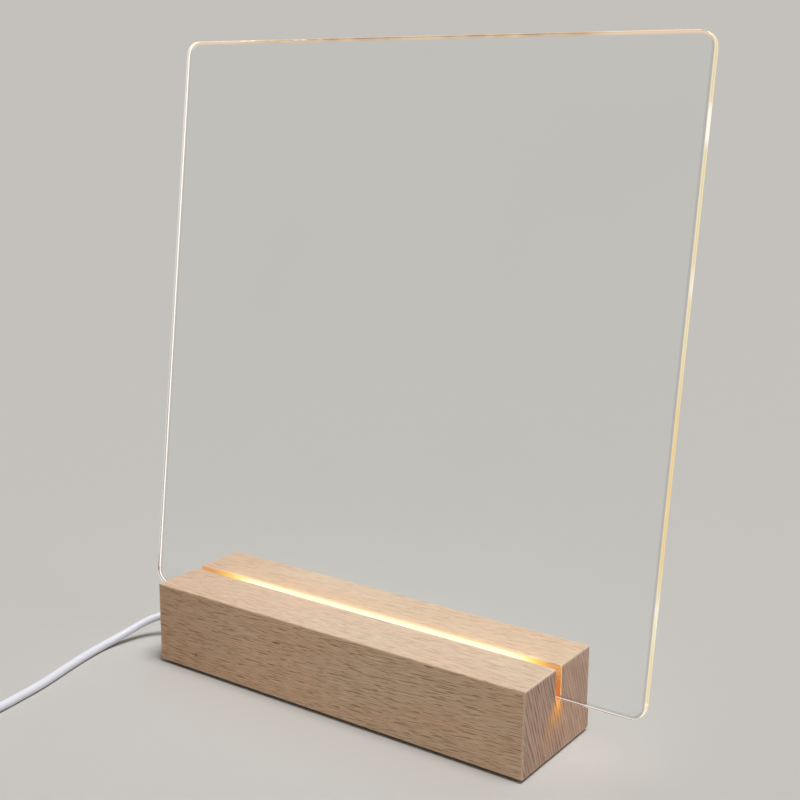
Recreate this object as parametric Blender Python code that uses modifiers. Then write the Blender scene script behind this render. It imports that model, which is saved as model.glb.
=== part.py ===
"""A desk writing board: a clear acrylic sheet that leans back in the slot of a beech block and is lit from below
by a row of LEDs, with a USB lead, an in-line rocker switch and a plug.

Metres, +Z up. The origin is the centre of the pad's underside, on the table. X runs along the block to the
right, and Y runs to the back.
"""

import math

import bmesh
import bpy
import numpy as np
from mathutils import Vector

# The sheet
SHEET_WIDTH = 0.200
SHEET_HEIGHT = 0.200
SHEET_THICKNESS = 0.0028
SHEET_CORNER_RADIUS = 0.005
SHEET_EDGE_POLISH = 0.00015
SHEET_SHIFT = 0.004  # how far its middle stands to the right of the block's middle
SHEET_SEAT_GAP = 0.0001

# The block
BASE_LENGTH = 0.150
BASE_DEPTH = 0.043
BASE_HEIGHT = 0.0288
BASE_EDGE_EASE = 0.0005
SLOT_DEPTH = 0.010
SLOT_PLAY = 0.0014  # the slot is this much wider than the sheet is thick, which lets the sheet lean back
SLOT_END_LAND = 0.019  # the closed slot floor at each end, which carries the sheet
WEB_THICKNESS = 0.0018  # the wood between the slot floor and the pocket
ROUTER_RADIUS = 0.003

# The pocket for the lamps, and what closes it
POCKET_WIDTH = 0.018
BOARD_END_LAND = 0.002
BOARD_END_ROOM = 0.003
COVER_THICKNESS = 0.0016
COVER_END_LEDGE = 0.006
COVER_SIDE_LEDGE = 0.0035
COVER_SCREW_EDGE = 0.005  # from the cover's long edge to the screw's middle
PAD_THICKNESS = 0.0008
PAD_MARGIN = 0.005
PAD_CORNER_RADIUS = 0.004

# The lamp board
BOARD_WIDTH = 0.012
BOARD_THICKNESS = 0.001
LED_COUNT = 12
LED_LENGTH = 0.0035
LED_WIDTH = 0.0028
LED_HEIGHT = 0.0007
LED_SIDE_ROOM = 0.0005
LED_END_ROOM = 0.0015
LED_RIM = 0.0004
LED_DISH = 0.00015
LED_EDGE_EASE = 0.0001
RESISTOR_LENGTH = 0.0032
RESISTOR_WIDTH = 0.0016
RESISTOR_HEIGHT = 0.0006
RESISTOR_OFFSET = 0.0028
SOLDER_GAP = 0.0001

# Screws
COVER_SCREW_LENGTH = 0.007
COVER_SCREW_RADIUS = 0.0009
COVER_SCREW_HEAD_RADIUS = 0.0019
COVER_SCREW_HEAD_HEIGHT = 0.0011
BOARD_SCREW_LENGTH = 0.005
BOARD_SCREW_RADIUS = 0.0007
BOARD_SCREW_HEAD_RADIUS = 0.0014
BOARD_SCREW_HEAD_HEIGHT = 0.0009
BOARD_SCREW_EDGE = 0.0018
BOARD_SCREW_INSET = 0.006
SWITCH_SCREW_RADIUS = 0.0007
SWITCH_SCREW_HEAD_RADIUS = 0.0013
SWITCH_SCREW_HEAD_HEIGHT = 0.0009
SWITCH_SCREW_GRIP = 0.0025
SCREW_POINT = 0.0012

# The lead, where it leaves the block, and the bush and tie that hold it there
LEAD_DIAMETER = 0.003
LEAD_EXIT_HEIGHT = 0.010
LEAD_HOLE_ROOM = 0.0003
LEAD_TAIL_INSIDE = 0.008
BUSH_RADIUS = 0.003
BUSH_DEPTH = 0.0055
BUSH_FLANGE_RADIUS = 0.0045
BUSH_FLANGE_THICKNESS = 0.001
BUSH_NOSE_LENGTH = 0.0055
BUSH_NOSE_RADIUS = 0.0021
BUSH_BORE_ROOM = 0.00015
GROOVE_DEPTH = 0.00045
INNER_TIE_WIDTH = 0.0024
INNER_TIE_THICKNESS = 0.0009
INNER_TIE_HEAD = 0.0036
WIRE_DIAMETER = 0.0011
WIRE_SPREAD = 0.0016
WIRE_PAD_SPREAD = 0.006
WIRE_REACH = 0.007

# The in-line switch
SWITCH_LENGTH = 0.046
SWITCH_WIDTH = 0.015
SWITCH_HEIGHT = 0.011
SWITCH_SPLIT_HEIGHT = 0.0046
SWITCH_WALL = 0.0014
SWITCH_CORNER_RADIUS = 0.0070
SWITCH_TOP_EASE = 0.0018
SWITCH_FOOT_EASE = 0.0008
SWITCH_GRIP = 0.008  # how far the lead's ends reach in
BOSS_RADIUS = 0.0018
BOSS_REACH = 0.0125  # from the switch's middle, along it
BOSS_SIDE = 0.0042
PIVOT_BELOW_TOP = 0.003
ROCKER_RADIUS = 0.0065
ROCKER_WIDTH = 0.0076
ROCKER_DISH = 0.0010
ROCKER_KEEL = 0.0026  # from the pivot down to the rocker's flat underside
ROCKER_SIDE_ROOM = 0.0003
ROCKER_TILT = math.radians(9)
TRUNNION_RADIUS = 0.001
TRUNNION_ROOM = 0.0001
EAR_THICKNESS = 0.0012
EAR_HALF_LENGTH = 0.0024
EAR_DROP = 0.0018  # from the pivot down to the end of an ear
BAR_LENGTH = 0.0026
BAR_SPAN = 0.0062
BAR_THICKNESS = 0.0004
BAR_REACH = 0.0036
CONTACT_THICKNESS = 0.0004
CONTACT_WIDTH = 0.0018
CONTACT_SIDE = 0.0021
CONTACT_FOOT = 0.0036
# The wires inside the switch: shares of the way along it, across it and down to its floor.
CONTACT_WIRE_SHARES = ((0, 0, 0), (0.12, 0, 0.03), (0.4, 0.3, 0.4), (0.7, 0.8, 0.75), (0.9, 1, 1), (1, 1, 1))
THROUGH_WIRE_SHARES = (
    (-1, 0.15, 0),
    (-0.92, 0.17, 0.03),
    (-0.80, 0.50, 0.55),
    (-0.64, 0.90, 0.97),
    (-0.42, 1, 1),
    (0.20, 1, 1),
    (0.60, 0.62, 1),
    (0.75, 0.02, 0.86),
    (0.92, -0.15, 0.06),
    (1, -0.15, 0),
)

# The plug
PLUG_LENGTH = 0.024
PLUG_WIDTH = 0.0155
PLUG_HEIGHT = 0.0076
PLUG_CORNER_RADIUS = 0.0016
PLUG_END_EASE = 0.0010
PLUG_NECK_LENGTH = 0.009
PLUG_NECK_RADIUS = 0.0026
PLUG_NOSE_RADIUS = 0.0020
SHELL_WIDTH = 0.012
SHELL_HEIGHT = 0.0045
SHELL_WALL = 0.0003
SHELL_REACH = 0.012
SHELL_GRIP = 0.005
SHELL_CORNER_RADIUS = 0.0006
SHELL_WINDOW = 0.0022
SHELL_WINDOW_SPREAD = 0.0052
SHELL_WINDOW_BACK = 0.0055  # from the shell's mouth to the middle of its windows
TONGUE_THICKNESS = 0.0018
TONGUE_SET_BACK = 0.0006
STRIP_WIDTH = 0.001
STRIP_THICKNESS = 0.00015
STRIP_LENGTH = 0.0085
STRIP_SPACING = 0.0022

# The lead's route. Each row is a step along X and along Y from where the lead leaves the block, and a share of
# the height of that exit: 1 at the exit, 0 where the lead lies on the table.
RUN_ROUTE = (
    (-0.0096, -0.0004, 0.97),
    (-0.0134, -0.0023, 0.87),
    (-0.0170, -0.0053, 0.72),
    (-0.0198, -0.0092, 0.57),
    (-0.0219, -0.0148, 0.34),
    (-0.0234, -0.0205, 0.15),
    (-0.0240, -0.0279, 0.03),
    (-0.0222, -0.0400, 0.00),
    (-0.0201, -0.0492, 0.00),
    (-0.0178, -0.0585, 0.00),
    (-0.0163, -0.0664, 0.00),
    (-0.0153, -0.0740, 0.00),
    (-0.0144, -0.0813, 0.00),
    (-0.0136, -0.0880, 0.14),
)
SWITCH_ENTRY = (-0.0133, -0.0965)
# From the far end of the switch to the coil, as steps along X and Y and a share of the way down to the coil.
LINK_ROUTE = (
    (-0.0022, -0.0074, 0.45),
    (-0.0075, -0.0113, 0.85),
    (-0.0150, -0.0120, 1.00),
    (-0.0240, -0.0120, 1.00),
)
COIL_OFFSET = (-0.0359, 0.0127)  # from the far end of the switch to the middle of the coil
COIL_MEAN_RADIUS = 5.5 * LEAD_DIAMETER
COIL_PITCH = 0.0036
COIL_LAYER_HEIGHT = 0.0036
COIL_TURNS_A_LAYER = 4.375
COIL_POINTS_A_TURN = 24
PLUG_OFFSET = 0.014  # from the end of the coil's last turn to the plug's neck
COIL_TIE_THICKNESS = 0.0005
COIL_TIE_WIDTH = 0.004
COIL_TIE_ROOM = 0.00025
COIL_TIE_ANGLE = math.radians(40)
COIL_TIE_TWIST_RADIUS = 0.0007
COIL_TIE_TWIST_LENGTH = 0.009

# Clearances and facets
FIT_GAP = 0.0002  # between pieces that touch
CUT_OVERRUN = 0.001
ARC_STEPS = 6
ROUND_SIDES = 24
SCREW_SIDES = 12
RUN_POINTS = 26
LINK_POINTS = 10
TAIL_POINTS = 4
WIRE_POINTS = 9
BEND_WEIGHT = 0.012  # a turn of one radian gets as many points as this length of a straight stretch

# What follows from the sizes above
slot_width = SHEET_THICKNESS + SLOT_PLAY
base_bottom = PAD_THICKNESS + FIT_GAP
base_top = base_bottom + BASE_HEIGHT
slot_floor = base_top - SLOT_DEPTH
pocket_roof = slot_floor - WEB_THICKNESS
window_length = BASE_LENGTH - 2 * SLOT_END_LAND
window_width = LED_WIDTH + 2 * LED_SIDE_ROOM
board_length = window_length + 2 * BOARD_END_LAND
pocket_length = board_length + 2 * BOARD_END_ROOM
cover_length = pocket_length + 2 * COVER_END_LEDGE
cover_width = POCKET_WIDTH + 2 * COVER_SIDE_LEDGE
cover_top = base_bottom + COVER_THICKNESS
board_top = pocket_roof - FIT_GAP
board_bottom = board_top - BOARD_THICKNESS
lead_radius = LEAD_DIAMETER / 2
lead_exit = Vector((-BASE_LENGTH / 2, 0, LEAD_EXIT_HEIGHT))
pocket_left = -pocket_length / 2
lead_inner_end = pocket_left + LEAD_TAIL_INSIDE
pivot_height = SWITCH_HEIGHT - PIVOT_BELOW_TOP
window_half_width = ROCKER_WIDTH / 2 + ROCKER_SIDE_ROOM
switch_end = lead_exit + Vector((*SWITCH_ENTRY, 0)) - Vector((0, SWITCH_LENGTH, 0))
coil_height = COIL_TIE_THICKNESS + COIL_TIE_ROOM + lead_radius
coil_centre = Vector((switch_end.x + COIL_OFFSET[0], switch_end.y + COIL_OFFSET[1], coil_height))
coil_half_spread = COIL_TURNS_A_LAYER * COIL_PITCH / 2
plug_height = PLUG_HEIGHT / 2


def clear_scene():
    for item in list(bpy.data.objects):
        bpy.data.objects.remove(item, do_unlink=True)


def new_collection(name):
    made = bpy.data.collections.new(name)
    bpy.context.scene.collection.children.link(made)
    return made


def finish(name, colour, roughness, metallic=0.0, transmission=0.0):
    made = bpy.data.materials.new(name)
    made.use_nodes = True
    shader = made.node_tree.nodes["Principled BSDF"]
    shader.inputs["Base Color"].default_value = (*colour, 1)
    shader.inputs["Roughness"].default_value = roughness
    shader.inputs["Metallic"].default_value = metallic
    shader.inputs["Transmission Weight"].default_value = transmission
    made.diffuse_color = (*colour, 1)
    return made


clear_scene()
PARTS = new_collection("led_writing_board")
CUTTERS = new_collection("cutters")
BEECH = finish("beech", (0.76, 0.56, 0.38), 0.55)
ACRYLIC = finish("clear_acrylic", (0.95, 0.97, 0.97), 0.03, transmission=1.0)
BOARD_WHITE = finish("white_board", (0.85, 0.86, 0.82), 0.4)
LED_BODY = finish("led_body", (0.93, 0.83, 0.45), 0.35)
RESISTOR_BLACK = finish("resistor_black", (0.04, 0.04, 0.05), 0.3)
STEEL = finish("steel", (0.62, 0.62, 0.63), 0.3, 1.0)
RED_WIRE = finish("red_wire", (0.62, 0.03, 0.03), 0.4)
BLACK_WIRE = finish("black_wire", (0.02, 0.02, 0.02), 0.4)
NYLON = finish("white_nylon", (0.82, 0.81, 0.77), 0.45)
LEAD_WHITE = finish("white_lead", (0.80, 0.80, 0.83), 0.5)
COVER_WHITE = finish("white_cover", (0.84, 0.83, 0.80), 0.5)
PAD_BLACK = finish("black_pad", (0.03, 0.03, 0.03), 0.9)
BRASS = finish("brass", (0.75, 0.55, 0.25), 0.3, 1.0)
GOLD = finish("gold_strip", (0.90, 0.70, 0.30), 0.2, 1.0)
TIE_WHITE = finish("white_tie", (0.78, 0.78, 0.78), 0.4)


def place(name, shape, colour, parent=None, collection=None):
    """An object of this mesh or curve, in the parts' collection."""
    made = bpy.data.objects.new(name, shape)
    (collection or PARTS).objects.link(made)
    made.parent = parent
    if colour is not None:
        shape.materials.append(colour)
    return made


def as_cutter(made):
    """Hides a shape that only cuts or joins another."""
    for owner in list(made.users_collection):
        owner.objects.unlink(made)
    CUTTERS.objects.link(made)
    made.hide_render = True
    made.display_type = "WIRE"
    return made


def mesh_from(bm, name):
    shape = bpy.data.meshes.new(name)
    bm.to_mesh(shape)
    bm.free()
    return shape


def block(name, size, centre, colour=None, parent=None):
    """A box of this size round this point."""
    bm = bmesh.new()
    bmesh.ops.create_cube(bm, size=1)
    bmesh.ops.scale(bm, vec=size, verts=bm.verts)
    bmesh.ops.translate(bm, vec=centre, verts=bm.verts)
    return place(name, mesh_from(bm, name), colour, parent)


def rod(name, radius, start, end, colour=None, parent=None, sides=ROUND_SIDES):
    """A cylinder between two points."""
    bm = bmesh.new()
    along = Vector(end) - Vector(start)
    bmesh.ops.create_cone(
        bm, cap_ends=True, segments=sides, radius1=radius, radius2=radius, depth=along.length
    )
    bmesh.ops.rotate(bm, cent=(0, 0, 0), matrix=along.to_track_quat("Z", "Y").to_matrix(), verts=bm.verts)
    bmesh.ops.translate(bm, vec=(Vector(start) + Vector(end)) / 2, verts=bm.verts)
    return place(name, mesh_from(bm, name), colour, parent)


def rounded_outline(width, height, radius, steps=ARC_STEPS):
    """The points of a rectangle with round corners, anticlockwise from its lower right."""
    points = []
    for corner, (side, up) in enumerate(((1, -1), (1, 1), (-1, 1), (-1, -1))):
        for step in range(steps + 1):
            turn = math.pi / 2 * (corner - 1 + step / steps)
            points.append(
                (
                    side * (width / 2 - radius) + radius * math.cos(turn),
                    up * (height / 2 - radius) + radius * math.sin(turn),
                )
            )
    return points


def welded(made):
    """The same object as a mesh, once its modifiers and its curve are worked out."""
    bpy.context.view_layer.update()
    graph = bpy.context.evaluated_depsgraph_get()
    bm = bmesh.new()
    bm.from_mesh(bpy.data.meshes.new_from_object(made.evaluated_get(graph)))
    bmesh.ops.remove_doubles(bm, verts=bm.verts, dist=LED_EDGE_EASE / 100)
    name, parent, turn, spot = made.name, made.parent, made.rotation_euler.copy(), made.location.copy()
    colours = [slot.material for slot in made.material_slots]
    bpy.data.objects.remove(made, do_unlink=True)
    solid = place(name, mesh_from(bm, name), None, parent)
    solid.rotation_euler, solid.location = turn, spot
    for colour in colours:
        solid.data.materials.append(colour)
    return solid


def plate(name, outlines, thickness, centre, colour=None, parent=None, turn=(0, 0, 0)):
    """A flat sheet of this outline, or of an outline with holes, as a mesh."""
    curve = bpy.data.curves.new(name, "CURVE")
    curve.dimensions = "2D"
    curve.fill_mode = "BOTH"
    curve.extrude = thickness / 2
    for outline in outlines:
        spline = curve.splines.new("POLY")
        spline.points.add(len(outline) - 1)
        for point, (x, y) in zip(spline.points, outline):
            point.co = (x, y, 0, 1)
        spline.use_cyclic_u = True
    made = place(name, curve, colour, parent)
    made.location = centre
    made.rotation_euler = turn
    return welded(made)


def tube(name, points, radius, colour, parent=None, resolution=2):
    """A round bar along these points, closed at both ends."""
    curve = bpy.data.curves.new(name, "CURVE")
    curve.dimensions = "3D"
    curve.bevel_depth = radius
    curve.bevel_resolution = resolution
    curve.use_fill_caps = True
    spline = curve.splines.new("POLY")
    spline.points.add(len(points) - 1)
    for point, spot in zip(spline.points, points):
        point.co = (*spot, 1)
    return place(name, curve, colour, parent)


def turned(name, profile, colour=None, parent=None, sides=ROUND_SIDES, closed=False):
    """A solid turned round Z from (radius, height) points that run down its outer side."""
    shape = bpy.data.meshes.new(name)
    edges = [(k, k + 1) for k in range(len(profile) - 1)]
    if closed:
        edges.append((len(profile) - 1, 0))
    shape.from_pydata([(radius, 0, height) for radius, height in profile], edges, [])
    made = place(name, shape, colour, parent)
    lathe = made.modifiers.new("lathe", "SCREW")
    lathe.steps = lathe.render_steps = sides
    lathe.use_merge_vertices = True
    lathe.merge_threshold = LED_EDGE_EASE / 10
    lathe.use_smooth_shade = False
    return made


def change(made, other, operation="DIFFERENCE"):
    """Cuts another shape from this one, or joins it to this one."""
    step = made.modifiers.new(other.name, "BOOLEAN")
    step.operation = operation
    step.object = as_cutter(other)


def ease(made, width, segments=2, angle=math.radians(40)):
    step = made.modifiers.new("eased_edges", "BEVEL")
    step.width = width
    step.segments = segments
    step.limit_method = "ANGLE"
    step.angle_limit = angle


def ease_rim(made, height, width, segments=3):
    """Rounds the edges that lie at this height of a mesh."""
    bm = bmesh.new()
    bm.from_mesh(made.data)
    near = width / 100
    rim = [edge for edge in bm.edges if all(abs(v.co.z - height) < near for v in edge.verts)]
    rim = [edge for edge in rim if any(abs(face.normal.z) < 0.5 for face in edge.link_faces)]
    bmesh.ops.bevel(bm, geom=rim, offset=width, segments=segments, profile=0.5, affect="EDGES")
    bm.to_mesh(made.data)
    bm.free()


def smooth_route(points, count):
    """This many points along a smooth curve through a route's points, closer where the curve bends."""
    given = np.array([tuple(p) for p in points], float)
    padded = np.vstack([2 * given[0] - given[1], given, 2 * given[-1] - given[-2]])
    fine = []
    for k in range(1, len(padded) - 2):
        p0, p1, p2, p3 = padded[k - 1 : k + 3]
        t1 = math.sqrt(np.linalg.norm(p1 - p0))
        t2 = t1 + math.sqrt(np.linalg.norm(p2 - p1))
        t3 = t2 + math.sqrt(np.linalg.norm(p3 - p2))
        for t in np.linspace(t1, t2, 24, endpoint=False):
            a1 = (t1 - t) / t1 * p0 + t / t1 * p1
            a2 = (t2 - t) / (t2 - t1) * p1 + (t - t1) / (t2 - t1) * p2
            a3 = (t3 - t) / (t3 - t2) * p2 + (t - t2) / (t3 - t2) * p3
            b1 = (t2 - t) / t2 * a1 + t / t2 * a2
            b2 = (t3 - t) / (t3 - t1) * a2 + (t - t1) / (t3 - t1) * a3
            fine.append((t2 - t) / (t2 - t1) * b1 + (t - t1) / (t2 - t1) * b2)
    fine = np.array([*fine, given[-1]])
    steps = np.diff(fine, axis=0)
    lengths = np.linalg.norm(steps, axis=1)
    heading = steps / lengths[:, None]
    turning = np.concatenate([[0], np.linalg.norm(np.diff(heading, axis=0), axis=1)])
    along = np.concatenate([[0], np.cumsum(lengths + BEND_WEIGHT * turning)])
    wanted = np.linspace(0, along[-1], count)
    return np.column_stack([np.interp(wanted, along, fine[:, axis]) for axis in range(3)])


def route_length(points):
    return float(np.linalg.norm(np.diff(np.array(points), axis=0), axis=1).sum())


def screw_profile(length, radius, head_radius, head_height, point):
    """A countersunk screw with its head's flat at the origin, pointing down."""
    return (
        (0, 0),
        (head_radius, 0),
        (radius, -head_height),
        (radius, point - length),
        (0, -length),
    )


def make_base():
    """The beech block, with its slot, light window, routed pocket, cover recess and lead hole."""
    middle = base_bottom + BASE_HEIGHT / 2
    base = block("base_block", (BASE_LENGTH, BASE_DEPTH, BASE_HEIGHT), (0, 0, middle), BEECH)
    ease(base, BASE_EDGE_EASE)
    slot_tall = SLOT_DEPTH + CUT_OVERRUN
    change(
        base,
        block(
            "slot",
            (BASE_LENGTH + 2 * CUT_OVERRUN, slot_width, slot_tall),
            (0, 0, slot_floor + slot_tall / 2),
        ),
    )
    window_tall = WEB_THICKNESS + 2 * CUT_OVERRUN
    change(
        base,
        plate(
            "light_window",
            [rounded_outline(window_length, window_width, window_width / 2)],
            window_tall,
            (0, 0, pocket_roof - CUT_OVERRUN + window_tall / 2),
        ),
    )
    pocket_tall = pocket_roof - base_bottom + CUT_OVERRUN
    change(
        base,
        plate(
            "pocket",
            [rounded_outline(pocket_length, POCKET_WIDTH, ROUTER_RADIUS)],
            pocket_tall,
            (0, 0, pocket_roof - pocket_tall / 2),
        ),
    )
    recess_tall = COVER_THICKNESS + FIT_GAP + CUT_OVERRUN
    change(
        base,
        plate(
            "cover_recess",
            [rounded_outline(cover_length, cover_width, ROUTER_RADIUS)],
            recess_tall,
            (0, 0, cover_top + FIT_GAP - recess_tall / 2),
        ),
    )
    outside = lead_exit - Vector((CUT_OVERRUN, 0, 0))
    inside = Vector((pocket_left + CUT_OVERRUN, 0, LEAD_EXIT_HEIGHT))
    seat = lead_exit + Vector((BUSH_DEPTH + FIT_GAP, 0, 0))
    change(base, rod("bush_seat", BUSH_RADIUS + FIT_GAP, outside, seat))
    change(base, rod("lead_hole", lead_radius + LEAD_HOLE_ROOM, seat - Vector((CUT_OVERRUN, 0, 0)), inside))
    for number, (x, y) in enumerate(cover_screw_places(), 1):
        floor = base_bottom - CUT_OVERRUN
        depth = base_bottom + COVER_SCREW_LENGTH + FIT_GAP
        hole = rod(
            f"cover_pilot_{number}",
            COVER_SCREW_RADIUS + FIT_GAP,
            (x, y, floor),
            (x, y, depth),
            sides=SCREW_SIDES,
        )
        change(base, hole)
    for number, (x, y) in enumerate(board_screw_places(), 1):
        floor = pocket_roof - CUT_OVERRUN
        depth = board_bottom + BOARD_SCREW_LENGTH + FIT_GAP
        hole = rod(
            f"board_pilot_{number}",
            BOARD_SCREW_RADIUS + FIT_GAP,
            (x, y, floor),
            (x, y, depth),
            sides=SCREW_SIDES,
        )
        change(base, hole)
    return base


def cover_screw_places():
    x = (pocket_length + COVER_END_LEDGE) / 2
    y = cover_width / 2 - COVER_SCREW_EDGE
    return [(side * x, way * y) for side in (-1, 1) for way in (-1, 1)]


def board_screw_places():
    x = board_length / 2 - BOARD_SCREW_INSET
    y = BOARD_WIDTH / 2 - BOARD_SCREW_EDGE
    return [(-x, y), (x, -y)]


def sheet_lean():
    """The angle at which the sheet's foot meets the slot's front wall and floor and its back meets the rim."""
    low, high = 0, math.pi / 4
    for _ in range(60):
        lean = (low + high) / 2
        sideways = (slot_width - SHEET_SEAT_GAP - SHEET_THICKNESS * math.cos(lean)) * math.cos(lean)
        upwards = (SLOT_DEPTH - SHEET_SEAT_GAP) * math.sin(lean)
        if sideways - upwards > SHEET_SEAT_GAP:
            low = lean
        else:
            high = lean
    return lean


def make_sheet():
    """The clear sheet. Its own Y runs up the sheet, and its empty lies on the line that it lifts along."""
    lean = sheet_lean()
    up = Vector((0, math.sin(lean), math.cos(lean)))
    front = Vector((0, -math.cos(lean), math.sin(lean)))
    foot = Vector(
        (
            SHEET_SHIFT,
            SHEET_SEAT_GAP - slot_width / 2 + SHEET_THICKNESS * math.cos(lean),
            slot_floor + SHEET_SEAT_GAP,
        )
    )
    seat = bpy.data.objects.new("sheet_seat", None)
    PARTS.objects.link(seat)
    seat.location = foot + front * SHEET_THICKNESS / 2
    seat.rotation_euler = (math.pi / 2 - lean, 0, 0)
    sheet = plate(
        "acrylic_sheet",
        [rounded_outline(SHEET_WIDTH, SHEET_HEIGHT, SHEET_CORNER_RADIUS)],
        SHEET_THICKNESS,
        (0, SHEET_HEIGHT / 2, 0),
        ACRYLIC,
        seat,
    )
    ease(sheet, SHEET_EDGE_POLISH, 1)
    print(f"the sheet leans {math.degrees(lean):.3f} degrees and lifts along", [round(a, 5) for a in up])
    return sheet


def make_lamp_board():
    """The circuit board under the slot, its LEDs and resistors, and the two screws that hold it up."""
    centre = (0, 0, board_top - BOARD_THICKNESS / 2)
    board = block("led_board", (board_length, BOARD_WIDTH, BOARD_THICKNESS), centre, BOARD_WHITE)
    for number, (x, y) in enumerate(board_screw_places(), 1):
        hole = rod(
            f"board_hole_{number}",
            BOARD_SCREW_RADIUS + FIT_GAP,
            (x, y, board_bottom - CUT_OVERRUN),
            (x, y, board_top + CUT_OVERRUN),
            sides=SCREW_SIDES,
        )
        change(board, hole)
        profile = screw_profile(
            BOARD_SCREW_LENGTH + BOARD_SCREW_HEAD_HEIGHT,
            BOARD_SCREW_RADIUS,
            BOARD_SCREW_HEAD_RADIUS,
            0,
            SCREW_POINT,
        )
        head = ((0, 0), (BOARD_SCREW_HEAD_RADIUS, 0), (BOARD_SCREW_HEAD_RADIUS, -BOARD_SCREW_HEAD_HEIGHT))
        shank = (
            (BOARD_SCREW_RADIUS, -BOARD_SCREW_HEAD_HEIGHT),
            (BOARD_SCREW_RADIUS, profile[-2][1]),
            profile[-1],
        )
        screw = turned(f"board_screw_{number}", (*head, *shank), STEEL, sides=SCREW_SIDES)
        screw.rotation_euler = (math.pi, 0, 0)
        screw.location = (x, y, board_bottom - FIT_GAP - BOARD_SCREW_HEAD_HEIGHT)

    pattern = block("led_01", (LED_LENGTH, LED_WIDTH, LED_HEIGHT), (0, 0, LED_HEIGHT / 2), LED_BODY)
    ease(pattern, LED_EDGE_EASE, 1)
    dish = (LED_LENGTH - 2 * LED_RIM, LED_WIDTH - 2 * LED_RIM, LED_HEIGHT)
    change(pattern, block("led_dish", dish, (0, 0, LED_HEIGHT - LED_DISH + LED_HEIGHT / 2)))
    pattern = welded(pattern)
    reach = window_length / 2 - LED_END_ROOM - LED_LENGTH / 2
    for number in range(1, LED_COUNT + 1):
        led = pattern if number == 1 else place(f"led_{number:02d}", pattern.data, None)
        led.location = (
            reach * (2 * (number - 1) / (LED_COUNT - 1) - 1),
            0,
            board_top + SOLDER_GAP,
        )

    for number, side in enumerate((-1, 1), 1):
        spot = (
            lead_inner_end + WIRE_REACH + LED_LENGTH * 2,
            side * RESISTOR_OFFSET,
            board_bottom - SOLDER_GAP - RESISTOR_HEIGHT / 2,
        )
        size = (RESISTOR_LENGTH, RESISTOR_WIDTH, RESISTOR_HEIGHT)
        resistor = block(f"resistor_{number}", size, spot, RESISTOR_BLACK)
        ease(resistor, LED_EDGE_EASE, 1)


def make_cover():
    """The plate that closes the pocket, its four screws and the pad under them."""
    width, depth = cover_length - 2 * FIT_GAP, cover_width - 2 * FIT_GAP
    cover = plate(
        "bottom_cover",
        [rounded_outline(width, depth, ROUTER_RADIUS - FIT_GAP)],
        COVER_THICKNESS,
        (0, 0, base_bottom + COVER_THICKNESS / 2),
        COVER_WHITE,
    )
    profile = screw_profile(
        COVER_SCREW_LENGTH,
        COVER_SCREW_RADIUS,
        COVER_SCREW_HEAD_RADIUS,
        COVER_SCREW_HEAD_HEIGHT,
        SCREW_POINT,
    )
    sink = COVER_SCREW_HEAD_RADIUS + FIT_GAP + CUT_OVERRUN
    slope = (COVER_SCREW_HEAD_RADIUS - COVER_SCREW_RADIUS) / COVER_SCREW_HEAD_HEIGHT
    throat = COVER_SCREW_RADIUS + FIT_GAP
    for number, (x, y) in enumerate(cover_screw_places(), 1):
        hole = turned(
            f"cover_hole_{number}",
            (
                (0, CUT_OVERRUN / slope),
                (sink, CUT_OVERRUN / slope),
                (throat, CUT_OVERRUN / slope - (sink - throat) / slope),
                (throat, -COVER_THICKNESS - CUT_OVERRUN),
                (0, -COVER_THICKNESS - CUT_OVERRUN),
            ),
            sides=SCREW_SIDES,
        )
        screw = turned(f"cover_screw_{number}", profile, STEEL, sides=SCREW_SIDES)
        for made in (hole, screw):
            made.rotation_euler = (math.pi, 0, 0)
            made.location = (x, y, base_bottom)
        change(cover, hole)
    plate(
        "non_slip_pad",
        [
            rounded_outline(
                BASE_LENGTH - 2 * PAD_MARGIN, BASE_DEPTH - 2 * PAD_MARGIN, PAD_CORNER_RADIUS
            )
        ],
        PAD_THICKNESS,
        (0, 0, PAD_THICKNESS / 2),
        PAD_BLACK,
    )


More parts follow.
